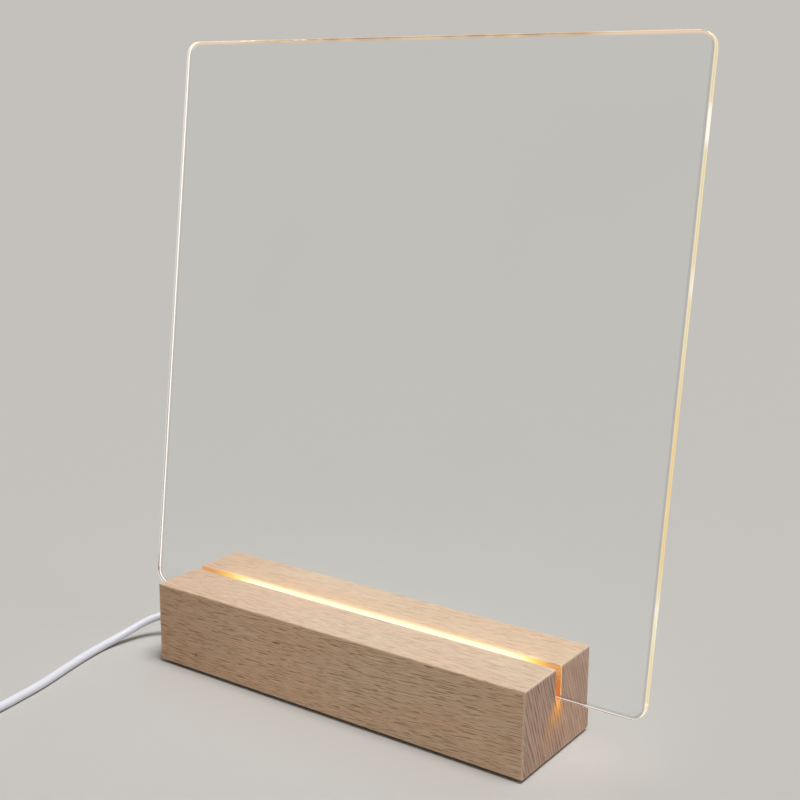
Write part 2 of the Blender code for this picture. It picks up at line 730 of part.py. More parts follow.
def make_lead_entry():
    """The bush in the block's left end, the tie on the lead behind it, and the two wires up to the board."""
    bore = lead_radius + BUSH_BORE_ROOM
    groove = BUSH_NOSE_LENGTH / 9
    outer = [(BUSH_RADIUS - GROOVE_DEPTH, BUSH_FLANGE_THICKNESS)]
    outer += [(BUSH_FLANGE_RADIUS, BUSH_FLANGE_THICKNESS), (BUSH_FLANGE_RADIUS, FIT_GAP)]
    outer += [(BUSH_RADIUS, FIT_GAP), (BUSH_RADIUS, -BUSH_DEPTH), (bore, -BUSH_DEPTH)]
    nose = nose_profile(
        BUSH_FLANGE_THICKNESS, BUSH_NOSE_LENGTH, BUSH_RADIUS - GROOVE_DEPTH, BUSH_NOSE_RADIUS, groove
    )
    bush = turned("cable_bush", [(bore, nose[0][1]), *nose, *outer], LEAD_WHITE, closed=True)
    bush.rotation_euler = (0, -math.pi / 2, 0)
    bush.location = lead_exit

    inner = lead_radius + BUSH_BORE_ROOM
    rim = inner + INNER_TIE_THICKNESS
    half = INNER_TIE_WIDTH / 2
    tie = turned(
        "inner_cable_tie",
        [(rim, half), (rim, -half), (inner, -half), (inner, half)],
        NYLON,
        closed=True,
    )
    tie.rotation_euler = (0, -math.pi / 2, 0)
    tie.location = (pocket_left + FIT_GAP + INNER_TIE_HEAD / 2, 0, LEAD_EXIT_HEIGHT)
    head = block(
        "tie_head",
        (INNER_TIE_HEAD, INNER_TIE_HEAD, INNER_TIE_HEAD / 2),
        (0, 0, -inner - INNER_TIE_THICKNESS / 2 - INNER_TIE_HEAD / 4),
    )
    head.location = tie.location
    change(tie, head, "UNION")

    top = board_bottom - SOLDER_GAP
    start_x = lead_inner_end + FIT_GAP
    for name, colour, side in (("positive_wire", RED_WIRE, 1), ("negative_wire", BLACK_WIRE, -1)):
        near, far = side * WIRE_SPREAD / 2, side * WIRE_PAD_SPREAD / 2
        rise = top - LEAD_EXIT_HEIGHT
        shares = ((0, 0, 0), (0.22, 0.05, 0), (0.62, 0.35, 0.16), (0.93, 0.8, 0.55), (1, 1, 0.85), (1, 1, 1))
        route = [
            (start_x + WIRE_REACH * a, near + (far - near) * b, LEAD_EXIT_HEIGHT + rise * c)
            for a, b, c in shares
        ]
        tube(name, smooth_route(route, WIRE_POINTS), WIRE_DIAMETER / 2, colour)


def nose_profile(start, length, root, tip, groove):
    """The outer side of a grooved, tapering strain relief, from its tip down to its root."""
    points = [(tip, start + length)]
    for ring in range(3):
        top = start + length - groove * (2 * ring + 2)
        share = (start + length - top) / length
        wide = tip + (root - tip) * share
        points += [(wide, top), (wide - GROOVE_DEPTH, top), (wide - GROOVE_DEPTH, top - groove)]
        points.append((wide, top - groove))
    return points


def run_points():
    """The lead from the block to the switch."""
    floor = lead_radius
    rise = LEAD_EXIT_HEIGHT - floor
    nose_end = lead_exit.x - BUSH_FLANGE_THICKNESS - BUSH_NOSE_LENGTH
    route = [(x, 0, LEAD_EXIT_HEIGHT) for x in (lead_inner_end, lead_exit.x, nose_end)]
    route += [(lead_exit.x + x, lead_exit.y + y, floor + rise * share) for x, y, share in RUN_ROUTE]
    entry = Vector((lead_exit.x + SWITCH_ENTRY[0], lead_exit.y + SWITCH_ENTRY[1], SWITCH_SPLIT_HEIGHT))
    route += [entry + Vector((0, y, 0)) for y in (lead_radius, 0, -SWITCH_GRIP)]
    points = smooth_route(route, RUN_POINTS)
    points[:, 2] = np.maximum(points[:, 2], floor)
    return points


def link_points():
    """The lead from the switch to the coil."""
    drop = coil_height - SWITCH_SPLIT_HEIGHT
    start = Vector((switch_end.x, switch_end.y, SWITCH_SPLIT_HEIGHT))
    route = [start + Vector((0, y, 0)) for y in (SWITCH_GRIP, 0, -lead_radius)]
    route += [(start.x + x, start.y + y, start.z + drop * share) for x, y, share in LINK_ROUTE]
    first = coil_point(0)
    route.append((first.x + LEAD_DIAMETER + FIT_GAP, first.y, first.z))
    return smooth_route(route, LINK_POINTS)


def coil_point(turns):
    """A point of the coil's centreline, this many turns from its start at the front of the coil. It winds in
    over the lower layer, climbs in the half turn where it reverses, and winds out over the upper layer."""
    last = COIL_TURNS_A_LAYER
    outer = COIL_MEAN_RADIUS + coil_half_spread
    inner = COIL_MEAN_RADIUS - coil_half_spread
    if turns <= last:
        radius, lift = outer - COIL_PITCH * turns, 0
    elif turns < last + 0.5:
        past = turns - last
        radius = inner - COIL_PITCH * (past - 2 * past * past)
        lift = 2 * past
    else:
        radius, lift = inner + COIL_PITCH * (turns - last - 0.5), 1
    angle = -math.pi / 2 - 2 * math.pi * turns
    height = COIL_LAYER_HEIGHT * lift
    return coil_centre + Vector((radius * math.cos(angle), radius * math.sin(angle), height))


def coil_end_turns():
    return 2 * COIL_TURNS_A_LAYER + 0.5


def coil_points():
    count = round(coil_end_turns() * COIL_POINTS_A_TURN)
    turns = [coil_point(coil_end_turns() * k / count) for k in range(count + 1)]
    first = turns[0] + Vector((LEAD_DIAMETER, 0, 0))
    last = turns[-1] + Vector((0, LEAD_DIAMETER, 0))
    return [first, *turns, last]


def tail_points():
    """The lead from the coil to the plug's neck."""
    start = coil_point(coil_end_turns())
    from_coil = LEAD_DIAMETER + FIT_GAP
    way = PLUG_OFFSET - from_coil - FIT_GAP
    shares = ((0, 0), (0.25, 0.08), (0.5, 0.5), (0.75, 0.92), (1, 1))
    route = [
        (start.x, start.y + from_coil + way * a, start.z + (plug_height - start.z) * b) for a, b in shares
    ]
    return smooth_route(route, TAIL_POINTS)


def least_self_gap(points, diameter):
    """The least gap between turns, measured between points of a finely divided centreline."""
    points = np.array(points)
    fine = np.concatenate([np.linspace(a, b, 8, endpoint=False) for a, b in zip(points, points[1:])])
    skip = 8 * COIL_POINTS_A_TURN // 2
    gaps = [np.linalg.norm(fine[k + skip :] - fine[k], axis=1).min() for k in range(len(fine) - skip)]
    return float(min(gaps)) - diameter


def make_lead():
    """The lead's four stretches and the twist tie round the coil."""
    run, link, coil, tail = run_points(), link_points(), coil_points(), tail_points()
    tube("usb_lead_run", run, lead_radius, LEAD_WHITE)
    tube("usb_lead_link", link, lead_radius, LEAD_WHITE)
    tube("usb_lead_coil", coil, lead_radius, LEAD_WHITE, resolution=1)
    tube("usb_lead_tail", tail, lead_radius, LEAD_WHITE)
    lengths = [route_length(points) for points in (run, link, coil, tail)]
    print("lead stretches", [round(length, 4) for length in lengths], "in all", round(sum(lengths), 4))
    print("least gap between the coil's turns", round(least_self_gap(coil, LEAD_DIAMETER), 5))

    reach = [coil_point(coil_end_turns() * k / 400) for k in range(401)]
    near = []
    for spot in reach:
        away = Vector((spot.x - coil_centre.x, spot.y - coil_centre.y))
        turn = math.atan2(away.y, away.x) - COIL_TIE_ANGLE
        if abs(math.atan2(math.sin(turn), math.cos(turn))) < math.radians(12):
            near.append(away.length)
    low = min(near) - lead_radius - COIL_TIE_ROOM
    high = max(near) + lead_radius + COIL_TIE_ROOM
    inner_tall = LEAD_DIAMETER + COIL_LAYER_HEIGHT + 2 * COIL_TIE_ROOM
    inner_wide = high - low
    wide, tall = inner_wide + 2 * COIL_TIE_THICKNESS, inner_tall + 2 * COIL_TIE_THICKNESS
    seat = bpy.data.objects.new("coil_tie_seat", None)
    PARTS.objects.link(seat)
    middle = (low + high) / 2
    seat.location = (
        coil_centre.x + middle * math.cos(COIL_TIE_ANGLE),
        coil_centre.y + middle * math.sin(COIL_TIE_ANGLE),
        coil_height + COIL_LAYER_HEIGHT / 2,
    )
    seat.rotation_euler = (0, 0, COIL_TIE_ANGLE)
    tie = plate(
        "coil_twist_tie",
        [
            rounded_outline(wide, tall, lead_radius + COIL_TIE_THICKNESS),
            rounded_outline(inner_wide, inner_tall, lead_radius)[::-1],
        ],
        COIL_TIE_WIDTH,
        (0, 0, 0),
        TIE_WHITE,
        seat,
        (math.pi / 2, 0, 0),
    )
    root = (wide / 2 - COIL_TIE_THICKNESS / 2, 0, 0)
    tip = (wide / 2 + COIL_TIE_TWIST_LENGTH, 0, COIL_TIE_TWIST_RADIUS)
    twist = rod("tie_twist", COIL_TIE_TWIST_RADIUS, root, tip, parent=seat, sides=SCREW_SIDES // 2)
    change(tie, twist, "UNION")


def switch_shell(name, low, high, rim, rim_ease, floor, ceiling, seat):
    """One half of the switch's housing, hollow between floor and ceiling."""
    shell = plate(
        name,
        [rounded_outline(SWITCH_LENGTH, SWITCH_WIDTH, SWITCH_CORNER_RADIUS, 8)],
        high - low,
        (0, 0, 0),
        LEAD_WHITE,
        seat,
    )
    shell.location = (0, 0, (low + high) / 2)
    ease_rim(shell, rim * (high - low) / 2, rim_ease)
    hollow = plate(
        name + "_hollow",
        [
            rounded_outline(
                SWITCH_LENGTH - 2 * SWITCH_WALL,
                SWITCH_WIDTH - 2 * SWITCH_WALL,
                SWITCH_CORNER_RADIUS - SWITCH_WALL,
                8,
            )
        ],
        ceiling - floor,
        (0, 0, (floor + ceiling) / 2),
        parent=seat,
    )
    change(shell, hollow)
    for side in (-1, 1):
        inner = side * (SWITCH_LENGTH / 2 - SWITCH_WALL - CUT_OVERRUN)
        outer = side * (SWITCH_LENGTH / 2 + CUT_OVERRUN)
        hole = rod(
            f"{name}_lead_hole_{side}",
            lead_radius + LEAD_HOLE_ROOM,
            (inner, 0, SWITCH_SPLIT_HEIGHT),
            (outer, 0, SWITCH_SPLIT_HEIGHT),
            parent=seat,
        )
        change(shell, hole)
    return shell


def make_switch():
    """The in-line switch, built along its own X with the plug's side at +X, then turned along the lead."""
    seat = bpy.data.objects.new("switch_seat", None)
    PARTS.objects.link(seat)
    seat.location = (switch_end.x, switch_end.y + SWITCH_LENGTH / 2, 0)
    seat.rotation_euler = (0, 0, -math.pi / 2)
    ceiling = SWITCH_HEIGHT - SWITCH_WALL
    parting_low = SWITCH_SPLIT_HEIGHT - FIT_GAP / 2
    parting_high = SWITCH_SPLIT_HEIGHT + FIT_GAP / 2

    lower = switch_shell(
        "switch_lower_shell", 0, parting_low, -1, SWITCH_FOOT_EASE, SWITCH_WALL, SWITCH_HEIGHT, seat
    )
    upper = switch_shell(
        "switch_upper_shell", parting_high, SWITCH_HEIGHT, 1, SWITCH_TOP_EASE, 0, ceiling, seat
    )

    window = (
        2 * (ROCKER_RADIUS + ROCKER_SIDE_ROOM),
        2 * window_half_width,
        SWITCH_WALL + 2 * CUT_OVERRUN,
    )
    change(upper, block("rocker_window", window, (0, 0, ceiling + SWITCH_WALL / 2), parent=seat))
    ear_bottom = pivot_height - EAR_DROP
    ear_top = ceiling + SWITCH_WALL / 2
    for side in (-1, 1):
        middle = side * (window_half_width + EAR_THICKNESS / 2)
        ear = block(
            f"ear_{side}",
            (2 * EAR_HALF_LENGTH, EAR_THICKNESS, ear_top - ear_bottom),
            (0, middle, (ear_top + ear_bottom) / 2),
            parent=seat,
        )
        change(upper, ear, "UNION")
    hole_half = window_half_width + EAR_THICKNESS + FIT_GAP
    trunnion_hole = rod(
        "trunnion_hole",
        TRUNNION_RADIUS + TRUNNION_ROOM,
        (0, -hole_half, pivot_height),
        (0, hole_half, pivot_height),
        parent=seat,
    )
    change(upper, trunnion_hole)

    for number, side in enumerate((1, -1), 1):
        x, y = side * BOSS_REACH, side * BOSS_SIDE
        low_boss = rod(
            f"low_boss_{number}", BOSS_RADIUS, (x, y, SWITCH_WALL / 2), (x, y, parting_low), parent=seat
        )
        high_boss = rod(
            f"high_boss_{number}",
            BOSS_RADIUS,
            (x, y, parting_high),
            (x, y, ceiling + SWITCH_WALL / 2),
            parent=seat,
        )
        change(lower, low_boss, "UNION")
        change(upper, high_boss, "UNION")
        length = parting_high + SWITCH_SCREW_GRIP
        shaft = SWITCH_SCREW_RADIUS + FIT_GAP
        head = SWITCH_SCREW_HEAD_RADIUS + FIT_GAP
        bottom = FIT_GAP
        head_top = bottom + SWITCH_SCREW_HEAD_HEIGHT
        low_hole = turned(
            f"switch_hole_{number}",
            (
                (0, parting_low + CUT_OVERRUN),
                (shaft, parting_low + CUT_OVERRUN),
                (shaft, head_top + FIT_GAP),
                (head, head_top + FIT_GAP),
                (head, -CUT_OVERRUN),
                (0, -CUT_OVERRUN),
            ),
            parent=seat,
            sides=SCREW_SIDES,
        )
        low_hole.location = (x, y, 0)
        change(lower, low_hole)
        high_hole = rod(
            f"switch_pilot_{number}",
            shaft,
            (x, y, parting_high - CUT_OVERRUN),
            (x, y, length + FIT_GAP),
            parent=seat,
            sides=SCREW_SIDES,
        )
        change(upper, high_hole)
        turned(
            f"switch_screw_{number}",
            (
                (0, length),
                (SWITCH_SCREW_RADIUS, length - SCREW_POINT),
                (SWITCH_SCREW_RADIUS, head_top),
                (SWITCH_SCREW_HEAD_RADIUS, head_top),
                (SWITCH_SCREW_HEAD_RADIUS, bottom),
                (0, bottom),
            ),
            STEEL,
            parent=seat,
            sides=SCREW_SIDES,
        ).location = (x, y, 0)

    make_rocker(seat)
    make_contacts(seat)


def make_rocker(seat):
    """The rocker and the brass bar under it, tipped to ON about the trunnions."""
    pivot = bpy.data.objects.new("rocker_pivot", None)
    PARTS.objects.link(pivot)
    pivot.parent = seat
    pivot.location = (0, 0, pivot_height)
    pivot.rotation_euler = (0, ROCKER_TILT, 0)

    top_turn = math.asin((PIVOT_BELOW_TOP + ROCKER_SIDE_ROOM) / ROCKER_RADIUS)
    foot_turn = -math.asin(ROCKER_KEEL / ROCKER_RADIUS)
    turns = [foot_turn + (top_turn - foot_turn) * k / ARC_STEPS for k in range(ARC_STEPS + 1)]
    right = [(ROCKER_RADIUS * math.cos(a), ROCKER_RADIUS * math.sin(a)) for a in turns]
    left = [(-x, z) for x, z in reversed(right)]
    dish = right[-1][1] - ROCKER_DISH
    outline = [*right, (0, dish), *left]
    rocker = plate(
        "switch_rocker", [outline], ROCKER_WIDTH, (0, 0, 0), LEAD_WHITE, pivot, (math.pi / 2, 0, 0)
    )
    half = window_half_width + EAR_THICKNESS - TRUNNION_ROOM
    axle = rod("trunnions", TRUNNION_RADIUS, (0, -half, 0), (0, half, 0), parent=pivot)
    change(rocker, axle, "UNION")
    recess = (
        BAR_LENGTH + 2 * SOLDER_GAP,
        BAR_SPAN + 2 * SOLDER_GAP,
        BAR_THICKNESS + CUT_OVERRUN,
    )
    roof = -ROCKER_KEEL + BAR_THICKNESS / 2
    change(
        rocker,
        block("bar_recess", recess, (BAR_REACH, 0, roof - recess[2] / 2), parent=pivot),
    )
    bar_top = roof - SOLDER_GAP
    block(
        "contact_bar",
        (BAR_LENGTH, BAR_SPAN, BAR_THICKNESS),
        (BAR_REACH, 0, bar_top - BAR_THICKNESS / 2),
        BRASS,
        pivot,
    )


def make_contacts(seat):
    """The two fixed contacts under the bar's ON side, and the three short wires inside the housing."""
    bar_drop = ROCKER_KEEL + BAR_THICKNESS / 2 + SOLDER_GAP
    half = CONTACT_THICKNESS / 2
    fall = (bar_drop + (BAR_REACH + half) * math.sin(ROCKER_TILT)) / math.cos(ROCKER_TILT)
    tip = pivot_height - fall - FIT_GAP
    floor = SWITCH_WALL + FIT_GAP
    sole = floor + CONTACT_THICKNESS
    lead_end = SWITCH_LENGTH / 2 - SWITCH_GRIP
    core = WIRE_DIAMETER / 2
    for name, side, way in (("contact_in", -1, -1), ("contact_out", 1, 1)):
        near, far = BAR_REACH - way * half, BAR_REACH + way * half
        toe = near + way * CONTACT_FOOT
        outline = [(near, tip), (near, floor), (toe, floor), (toe, sole), (far, sole), (far, tip)]
        plate(
            name,
            [outline[::-way]],
            CONTACT_WIDTH,
            (0, side * CONTACT_SIDE, 0),
            BRASS,
            seat,
            (math.pi / 2, 0, 0),
        )
        end = (toe - way * core, side * CONTACT_SIDE, sole + FIT_GAP + core)
        start = (way * (lead_end - FIT_GAP), side * core, SWITCH_SPLIT_HEIGHT)
        route = [[s + (e - s) * share for s, e, share in zip(start, end, row)] for row in CONTACT_WIRE_SHARES]
        wire = "switch_" + name.replace("contact", "wire")
        tube(wire, smooth_route(route, WIRE_POINTS), core, RED_WIRE, seat)
    reach = lead_end - FIT_GAP
    across = SWITCH_WIDTH / 2 - SWITCH_WALL - WIRE_DIAMETER
    high = SWITCH_SPLIT_HEIGHT - core
    drop = high - floor - core
    route = [(reach * x, across * y, high - drop * z) for x, y, z in THROUGH_WIRE_SHARES]
    tube("switch_wire_through", smooth_route(route, 2 * WIRE_POINTS), core, BLACK_WIRE, seat)


def make_plug():
    """The plug, built along its own X with the shell at +X, then turned to lie beside the coil."""
    seat = bpy.data.objects.new("plug_seat", None)
    PARTS.objects.link(seat)
    coil_exit = coil_point(coil_end_turns())
    seat.location = (coil_exit.x, coil_exit.y + PLUG_OFFSET, plug_height)
    seat.rotation_euler = (0, 0, math.pi / 2)

    body_start = PLUG_NECK_LENGTH
    body_end = body_start + PLUG_LENGTH
    body = plate(
        "plug_body",
        [rounded_outline(PLUG_WIDTH, PLUG_HEIGHT, PLUG_CORNER_RADIUS)],
        PLUG_LENGTH,
        ((body_start + body_end) / 2, 0, 0),
        LEAD_WHITE,
        seat,
        (math.pi / 2, 0, math.pi / 2),
    )
    for end in (-1, 1):
        ease_rim(body, end * PLUG_LENGTH / 2, PLUG_END_EASE, 2)
    groove = PLUG_NECK_LENGTH / 9
    nose = nose_profile(0, PLUG_NECK_LENGTH, PLUG_NECK_RADIUS, PLUG_NOSE_RADIUS, groove)
    foot = -2 * PLUG_END_EASE
    neck = turned(
        "plug_neck",
        [(0, PLUG_NECK_LENGTH), *nose, (PLUG_NECK_RADIUS, 0), (PLUG_NECK_RADIUS, foot), (0, foot)],
        parent=seat,
    )
    neck.rotation_euler = (0, -math.pi / 2, 0)
    neck.location = (body_start, 0, 0)
    change(body, neck, "UNION")
    pocket = (
        SHELL_GRIP + FIT_GAP + CUT_OVERRUN,
        SHELL_WIDTH + 2 * FIT_GAP,
        SHELL_HEIGHT + 2 * FIT_GAP,
    )
    pocket_middle = body_end - SHELL_GRIP - FIT_GAP + pocket[0] / 2
    change(body, block("shell_pocket", pocket, (pocket_middle, 0, 0), parent=seat))

    shell_length = SHELL_GRIP + SHELL_REACH
    shell_middle = body_end + (SHELL_REACH - SHELL_GRIP) / 2
    shell = plate(
        "plug_shell",
        [
            rounded_outline(SHELL_WIDTH, SHELL_HEIGHT, SHELL_CORNER_RADIUS, 4),
            rounded_outline(
                SHELL_WIDTH - 2 * SHELL_WALL,
                SHELL_HEIGHT - 2 * SHELL_WALL,
                SHELL_CORNER_RADIUS - SHELL_WALL,
                4,
            )[::-1],
        ],
        shell_length,
        (shell_middle, 0, 0),
        STEEL,
        seat,
        (math.pi / 2, 0, math.pi / 2),
    )
    mouth = body_end + SHELL_REACH
    for side in (-1, 1):
        hole = block(
            f"shell_window_{side}",
            (SHELL_WINDOW, SHELL_WINDOW, SHELL_HEIGHT + 2 * CUT_OVERRUN),
            (mouth - SHELL_WINDOW_BACK, side * SHELL_WINDOW_SPREAD / 2, 0),
            parent=seat,
        )
        change(shell, hole)

    inner_width = SHELL_WIDTH - 2 * SHELL_WALL - 2 * FIT_GAP
    inner_floor = -SHELL_HEIGHT / 2 + SHELL_WALL + FIT_GAP
    tongue_start = body_end - SHELL_GRIP + FIT_GAP
    tongue_end = mouth - TONGUE_SET_BACK
    tongue_size = (tongue_end - tongue_start, inner_width, TONGUE_THICKNESS)
    tongue = block(
        "plug_tongue",
        tongue_size,
        ((tongue_start + tongue_end) / 2, 0, inner_floor + TONGUE_THICKNESS / 2),
        BOARD_WHITE,
        seat,
    )
    ease(tongue, LED_EDGE_EASE, 1)
    for number in range(4):
        block(
            f"plug_contact_{number + 1}",
            (STRIP_LENGTH, STRIP_WIDTH, STRIP_THICKNESS),
            (
                tongue_end - STRIP_LENGTH / 2 - SHELL_CORNER_RADIUS,
                STRIP_SPACING * (number - 1.5),
                inner_floor + TONGUE_THICKNESS + SOLDER_GAP + STRIP_THICKNESS / 2,
            ),
            GOLD,
            seat,
        )


def shade():
    """Smooth shading on round faces, with the edges between flat ones kept sharp."""
    for made in PARTS.objects:
        if made.type == "MESH":
            made.data.shade_smooth()
            made.data.set_sharp_from_angle(angle=math.radians(30))


make_base()
make_sheet()
make_lamp_board()
make_cover()
make_lead_entry()
make_lead()
make_switch()
make_plug()
shade()
print("switch pivot", [round(a, 6) for a in (switch_end.x, switch_end.y + SWITCH_LENGTH / 2, pivot_height)])
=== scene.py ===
import math

import bmesh
import bpy
import numpy as np
from mathutils import Matrix, Vector


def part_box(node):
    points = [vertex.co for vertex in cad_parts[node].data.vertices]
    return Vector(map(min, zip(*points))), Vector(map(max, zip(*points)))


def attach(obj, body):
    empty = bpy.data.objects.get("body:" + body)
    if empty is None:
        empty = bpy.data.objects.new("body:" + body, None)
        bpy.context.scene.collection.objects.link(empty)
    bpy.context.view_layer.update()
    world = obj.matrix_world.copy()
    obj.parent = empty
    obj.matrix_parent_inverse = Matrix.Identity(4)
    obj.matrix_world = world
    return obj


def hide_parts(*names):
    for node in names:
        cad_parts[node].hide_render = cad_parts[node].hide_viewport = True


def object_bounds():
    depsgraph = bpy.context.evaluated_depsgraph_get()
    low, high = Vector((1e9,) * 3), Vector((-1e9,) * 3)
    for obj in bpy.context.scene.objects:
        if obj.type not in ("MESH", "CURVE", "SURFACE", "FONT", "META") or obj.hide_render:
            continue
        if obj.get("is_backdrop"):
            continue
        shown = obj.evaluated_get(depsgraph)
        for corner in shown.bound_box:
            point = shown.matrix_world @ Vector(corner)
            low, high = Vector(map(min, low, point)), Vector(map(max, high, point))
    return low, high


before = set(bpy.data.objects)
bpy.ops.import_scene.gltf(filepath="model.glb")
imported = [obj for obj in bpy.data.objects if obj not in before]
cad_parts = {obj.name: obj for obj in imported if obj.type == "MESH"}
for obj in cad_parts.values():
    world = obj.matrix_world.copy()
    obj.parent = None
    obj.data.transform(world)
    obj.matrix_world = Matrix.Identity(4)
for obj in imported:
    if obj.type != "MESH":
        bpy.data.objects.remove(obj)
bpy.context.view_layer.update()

# The bench top, the room and the camera. The board stands on a plain pale top that runs on out of sight.
# A broad soft lamp hangs almost overhead, so the wood's top is bright and its front is lit by what the bench
# top throws back, as in the photograph.
BENCH_COLOUR = (0.545, 0.530, 0.505)
BENCH_HALF = 6.0
ROOM_COLOUR = (1.0, 0.97, 0.93)
ROOM_STRENGTH = 0.22
LAMP_SHARE = 0.82  # of a full white, on a surface that faces the lamp
LAMP_DIRECTION = Vector((0.26, -0.03, 0.965)).normalized()
LAMP_SPREAD = math.radians(24)
CAMERA_LENS = 58.446
CAMERA_PLACE = Matrix((
    (0.819482, -0.135075, 0.556957, 0.24545),
    (0.573036, 0.178439, -0.799868, -0.33173),
    (0.008659, 0.974635, 0.223631, 0.19821),
    (0, 0, 0, 1),
))


def add(tree, kind, sockets=(), **settings):
    """One shader node. sockets pairs an input's name or number with a value, or the output that feeds it."""
    node = tree.nodes.new("ShaderNode" + kind)
    for name, value in settings.items():
        setattr(node, name, value)
    for name, value in dict(sockets).items():
        if isinstance(value, bpy.types.NodeSocket):
            tree.links.new(value, node.inputs[name])
        else:
            node.inputs[name].default_value = value
    return node


def calc(tree, operation, *values, clamp=False):
    """One sum, such as ADD, MULTIPLY or ABSOLUTE, of values or outputs."""
    return add(tree, "Math", dict(enumerate(values)), operation=operation, use_clamp=clamp).outputs[0]


def new_material(name):
    """A named material with nothing in it."""
    material = bpy.data.materials.new(name)
    material.use_nodes = True
    material.node_tree.nodes.clear()
    return material, material.node_tree


def show(tree, shader):
    """Makes a shader the one that the material shows."""
    add(tree, "OutputMaterial", {"Surface": shader.outputs[0]})


def put_in_scene(name, data):
    """A new object in the scene."""
    thing = bpy.data.objects.new(name, data)
    bpy.context.scene.collection.objects.link(thing)
    return thing


bench_finish, tree = new_material("pale bench top")
surface = add(tree, "BsdfPrincipled", {"Base Color": (*BENCH_COLOUR, 1), "Roughness": 1.0})
surface.inputs["Specular IOR Level"].default_value = 0
show(tree, surface)
bench_mesh = bpy.data.meshes.new("bench_top")
corners = [(BENCH_HALF * x, BENCH_HALF * y, 0) for x, y in ((-1, -1), (1, -1), (1, 1), (-1, 1))]
bench_mesh.from_pydata(corners, [], [(0, 1, 2, 3)])
bench_mesh.materials.append(bench_finish)
put_in_scene("bench_top", bench_mesh)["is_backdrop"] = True

# What the camera, a reflection or a look through the sheet meets beyond the bench top is the bench top's own
# brightness, so no line shows where it ends.
lamp_light = LAMP_SHARE * LAMP_DIRECTION.z
seen = [part * (lamp_light + ROOM_STRENGTH * light) for part, light in zip(BENCH_COLOUR, ROOM_COLOUR)]
room = bpy.data.worlds.new("plain room")
bpy.context.scene.world = room
room.use_nodes = True
tree = room.node_tree
tree.nodes.clear()
ray = add(tree, "LightPath").outputs
looked_at = calc(tree, "MAXIMUM", ray["Is Glossy Ray"], ray["Is Transmission Ray"])
looked_at = calc(tree, "MAXIMUM", ray["Is Camera Ray"], looked_at)
lit = add(tree, "Background", {"Color": (*ROOM_COLOUR, 1), "Strength": ROOM_STRENGTH})
backdrop = add(tree, "Background", {"Color": (*seen, 1), "Strength": 1.0})
both = add(tree, "MixShader", {0: looked_at, 1: lit.outputs[0], 2: backdrop.outputs[0]})
add(tree, "OutputWorld", {"Surface": both.outputs[0]})

lamp = put_in_scene("overhead_lamp", bpy.data.lights.new("overhead_lamp", "SUN"))
lamp.data.energy = LAMP_SHARE * math.pi
lamp.data.angle = LAMP_SPREAD
lamp.rotation_mode = "QUATERNION"
lamp.rotation_quaternion = LAMP_DIRECTION.to_track_quat("Z", "Y")

camera = put_in_scene("camera", bpy.data.cameras.new("camera"))
camera.data.lens = CAMERA_LENS
camera.data.sensor_width = 36
camera.data.clip_start = 0.02
camera.matrix_world = CAMERA_PLACE
bpy.context.scene.camera = camera
bpy.context.scene.view_settings.view_transform = "Standard"


# The base is one block of beech, planed, slotted along its top on a saw bench, sanded and oiled, with its
# edges eased by hand. Its vessels show as short dark dashes along the sides, and as near-parallel lines
# across the sawn ends. Light from the slot glows on the wood beside it and soaks into the end grain under it.
BLOCK_LOW, BLOCK_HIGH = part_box("base_block")
SLOT_HALF_WIDTH = 0.0021
SLOT_FLOOR = 0.0198
TOP_BEECH = (0.730, 0.573, 0.447)
# Partly painted shade: the sides' colour is set darker and warmer than the top's.
SIDE_BEECH_WITH_PAINTED_SHADE = (0.752, 0.521, 0.357)
END_BEECH = (0.572, 0.382, 0.294)
EDGE_BEECH_WEAR_AND_HIGHLIGHT = (0.740, 0.570, 0.400)
DASH_BEECH = (0.240, 0.098, 0.010)
END_LINE_BEECH = (0.190, 0.080, 0.030)
MARK_BEECH = (0.20, 0.075, 0.050)
GRAIN_CLIMB = 0.0525  # along the sides, from left to right
GRAIN_BOW = 0.233  # how far it curves upwards on the way
GRAIN_SLANT = 0.078  # along the top
END_WAY = (0.935, 0.355)  # how far y and z count across the lines of the sawn ends
END_LINE_SPACING = 0.00142
FACE_TURN = (0.55, 0.80)  # between these shares a rounded edge goes over from one face's wood to the next's
NO_LIGHT = (0, 0, 0)


def ramp(tree, value, low, high, start=0.0, end=1.0):
    """A smooth change from start to end while value goes from low to high."""
    sockets = {0: value, 1: low, 2: high, 3: start, 4: end}
    return add(tree, "MapRange", sockets, interpolation_type="SMOOTHSTEP").outputs[0]


def tint(tree, share, under, over, blend="MIX"):
    """One colour laid over another."""
    sockets = {
        0: share,
        6: under if isinstance(under, bpy.types.NodeSocket) else (*under, 1),
        7: over if isinstance(over, bpy.types.NodeSocket) else (*over, 1),
    }
    return add(tree, "Mix", sockets, data_type="RGBA", blend_type=blend).outputs[2]


def product(tree, *values):
    """Several masks or values multiplied."""
    total = values[0]
    for value in values[1:]:
        total = calc(tree, "MULTIPLY", total, value)
    return total


def between(tree, value, rise, fall):
    """One between two soft edges, and nought outside them. An edge is the range in which it comes or goes."""
    return product(tree, ramp(tree, value, *rise), ramp(tree, value, *fall, 1.0, 0.0))


def shading(tree, red, green, blue):
    """A colour from three values, to multiply another by."""
    return add(tree, "CombineColor", {0: red, 1: green, 2: blue}).outputs[0]


def flat_place(tree, along, across, long, wide):
    """A place on a face, in steps of long one way and wide the other, for a stretched pattern."""
    sockets = {0: calc(tree, "DIVIDE", along, long), 1: calc(tree, "DIVIDE", across, wide)}
    return add(tree, "CombineXYZ", sockets).outputs[0]


def distance(tree, place):
    """How far a place is from the middle of its pattern."""
    return add(tree, "VectorMath", {0: place}, operation="LENGTH").outputs["Value"]


def noise(tree, place, scale=1.0, detail=2.0, dimensions="2D"):
    """Soft random patches, from 0 to 1."""
    sockets = {"Vector": place, "Scale": scale, "Detail": detail}
    return add(tree, "TexNoise", sockets, noise_dimensions=dimensions).outputs[0]


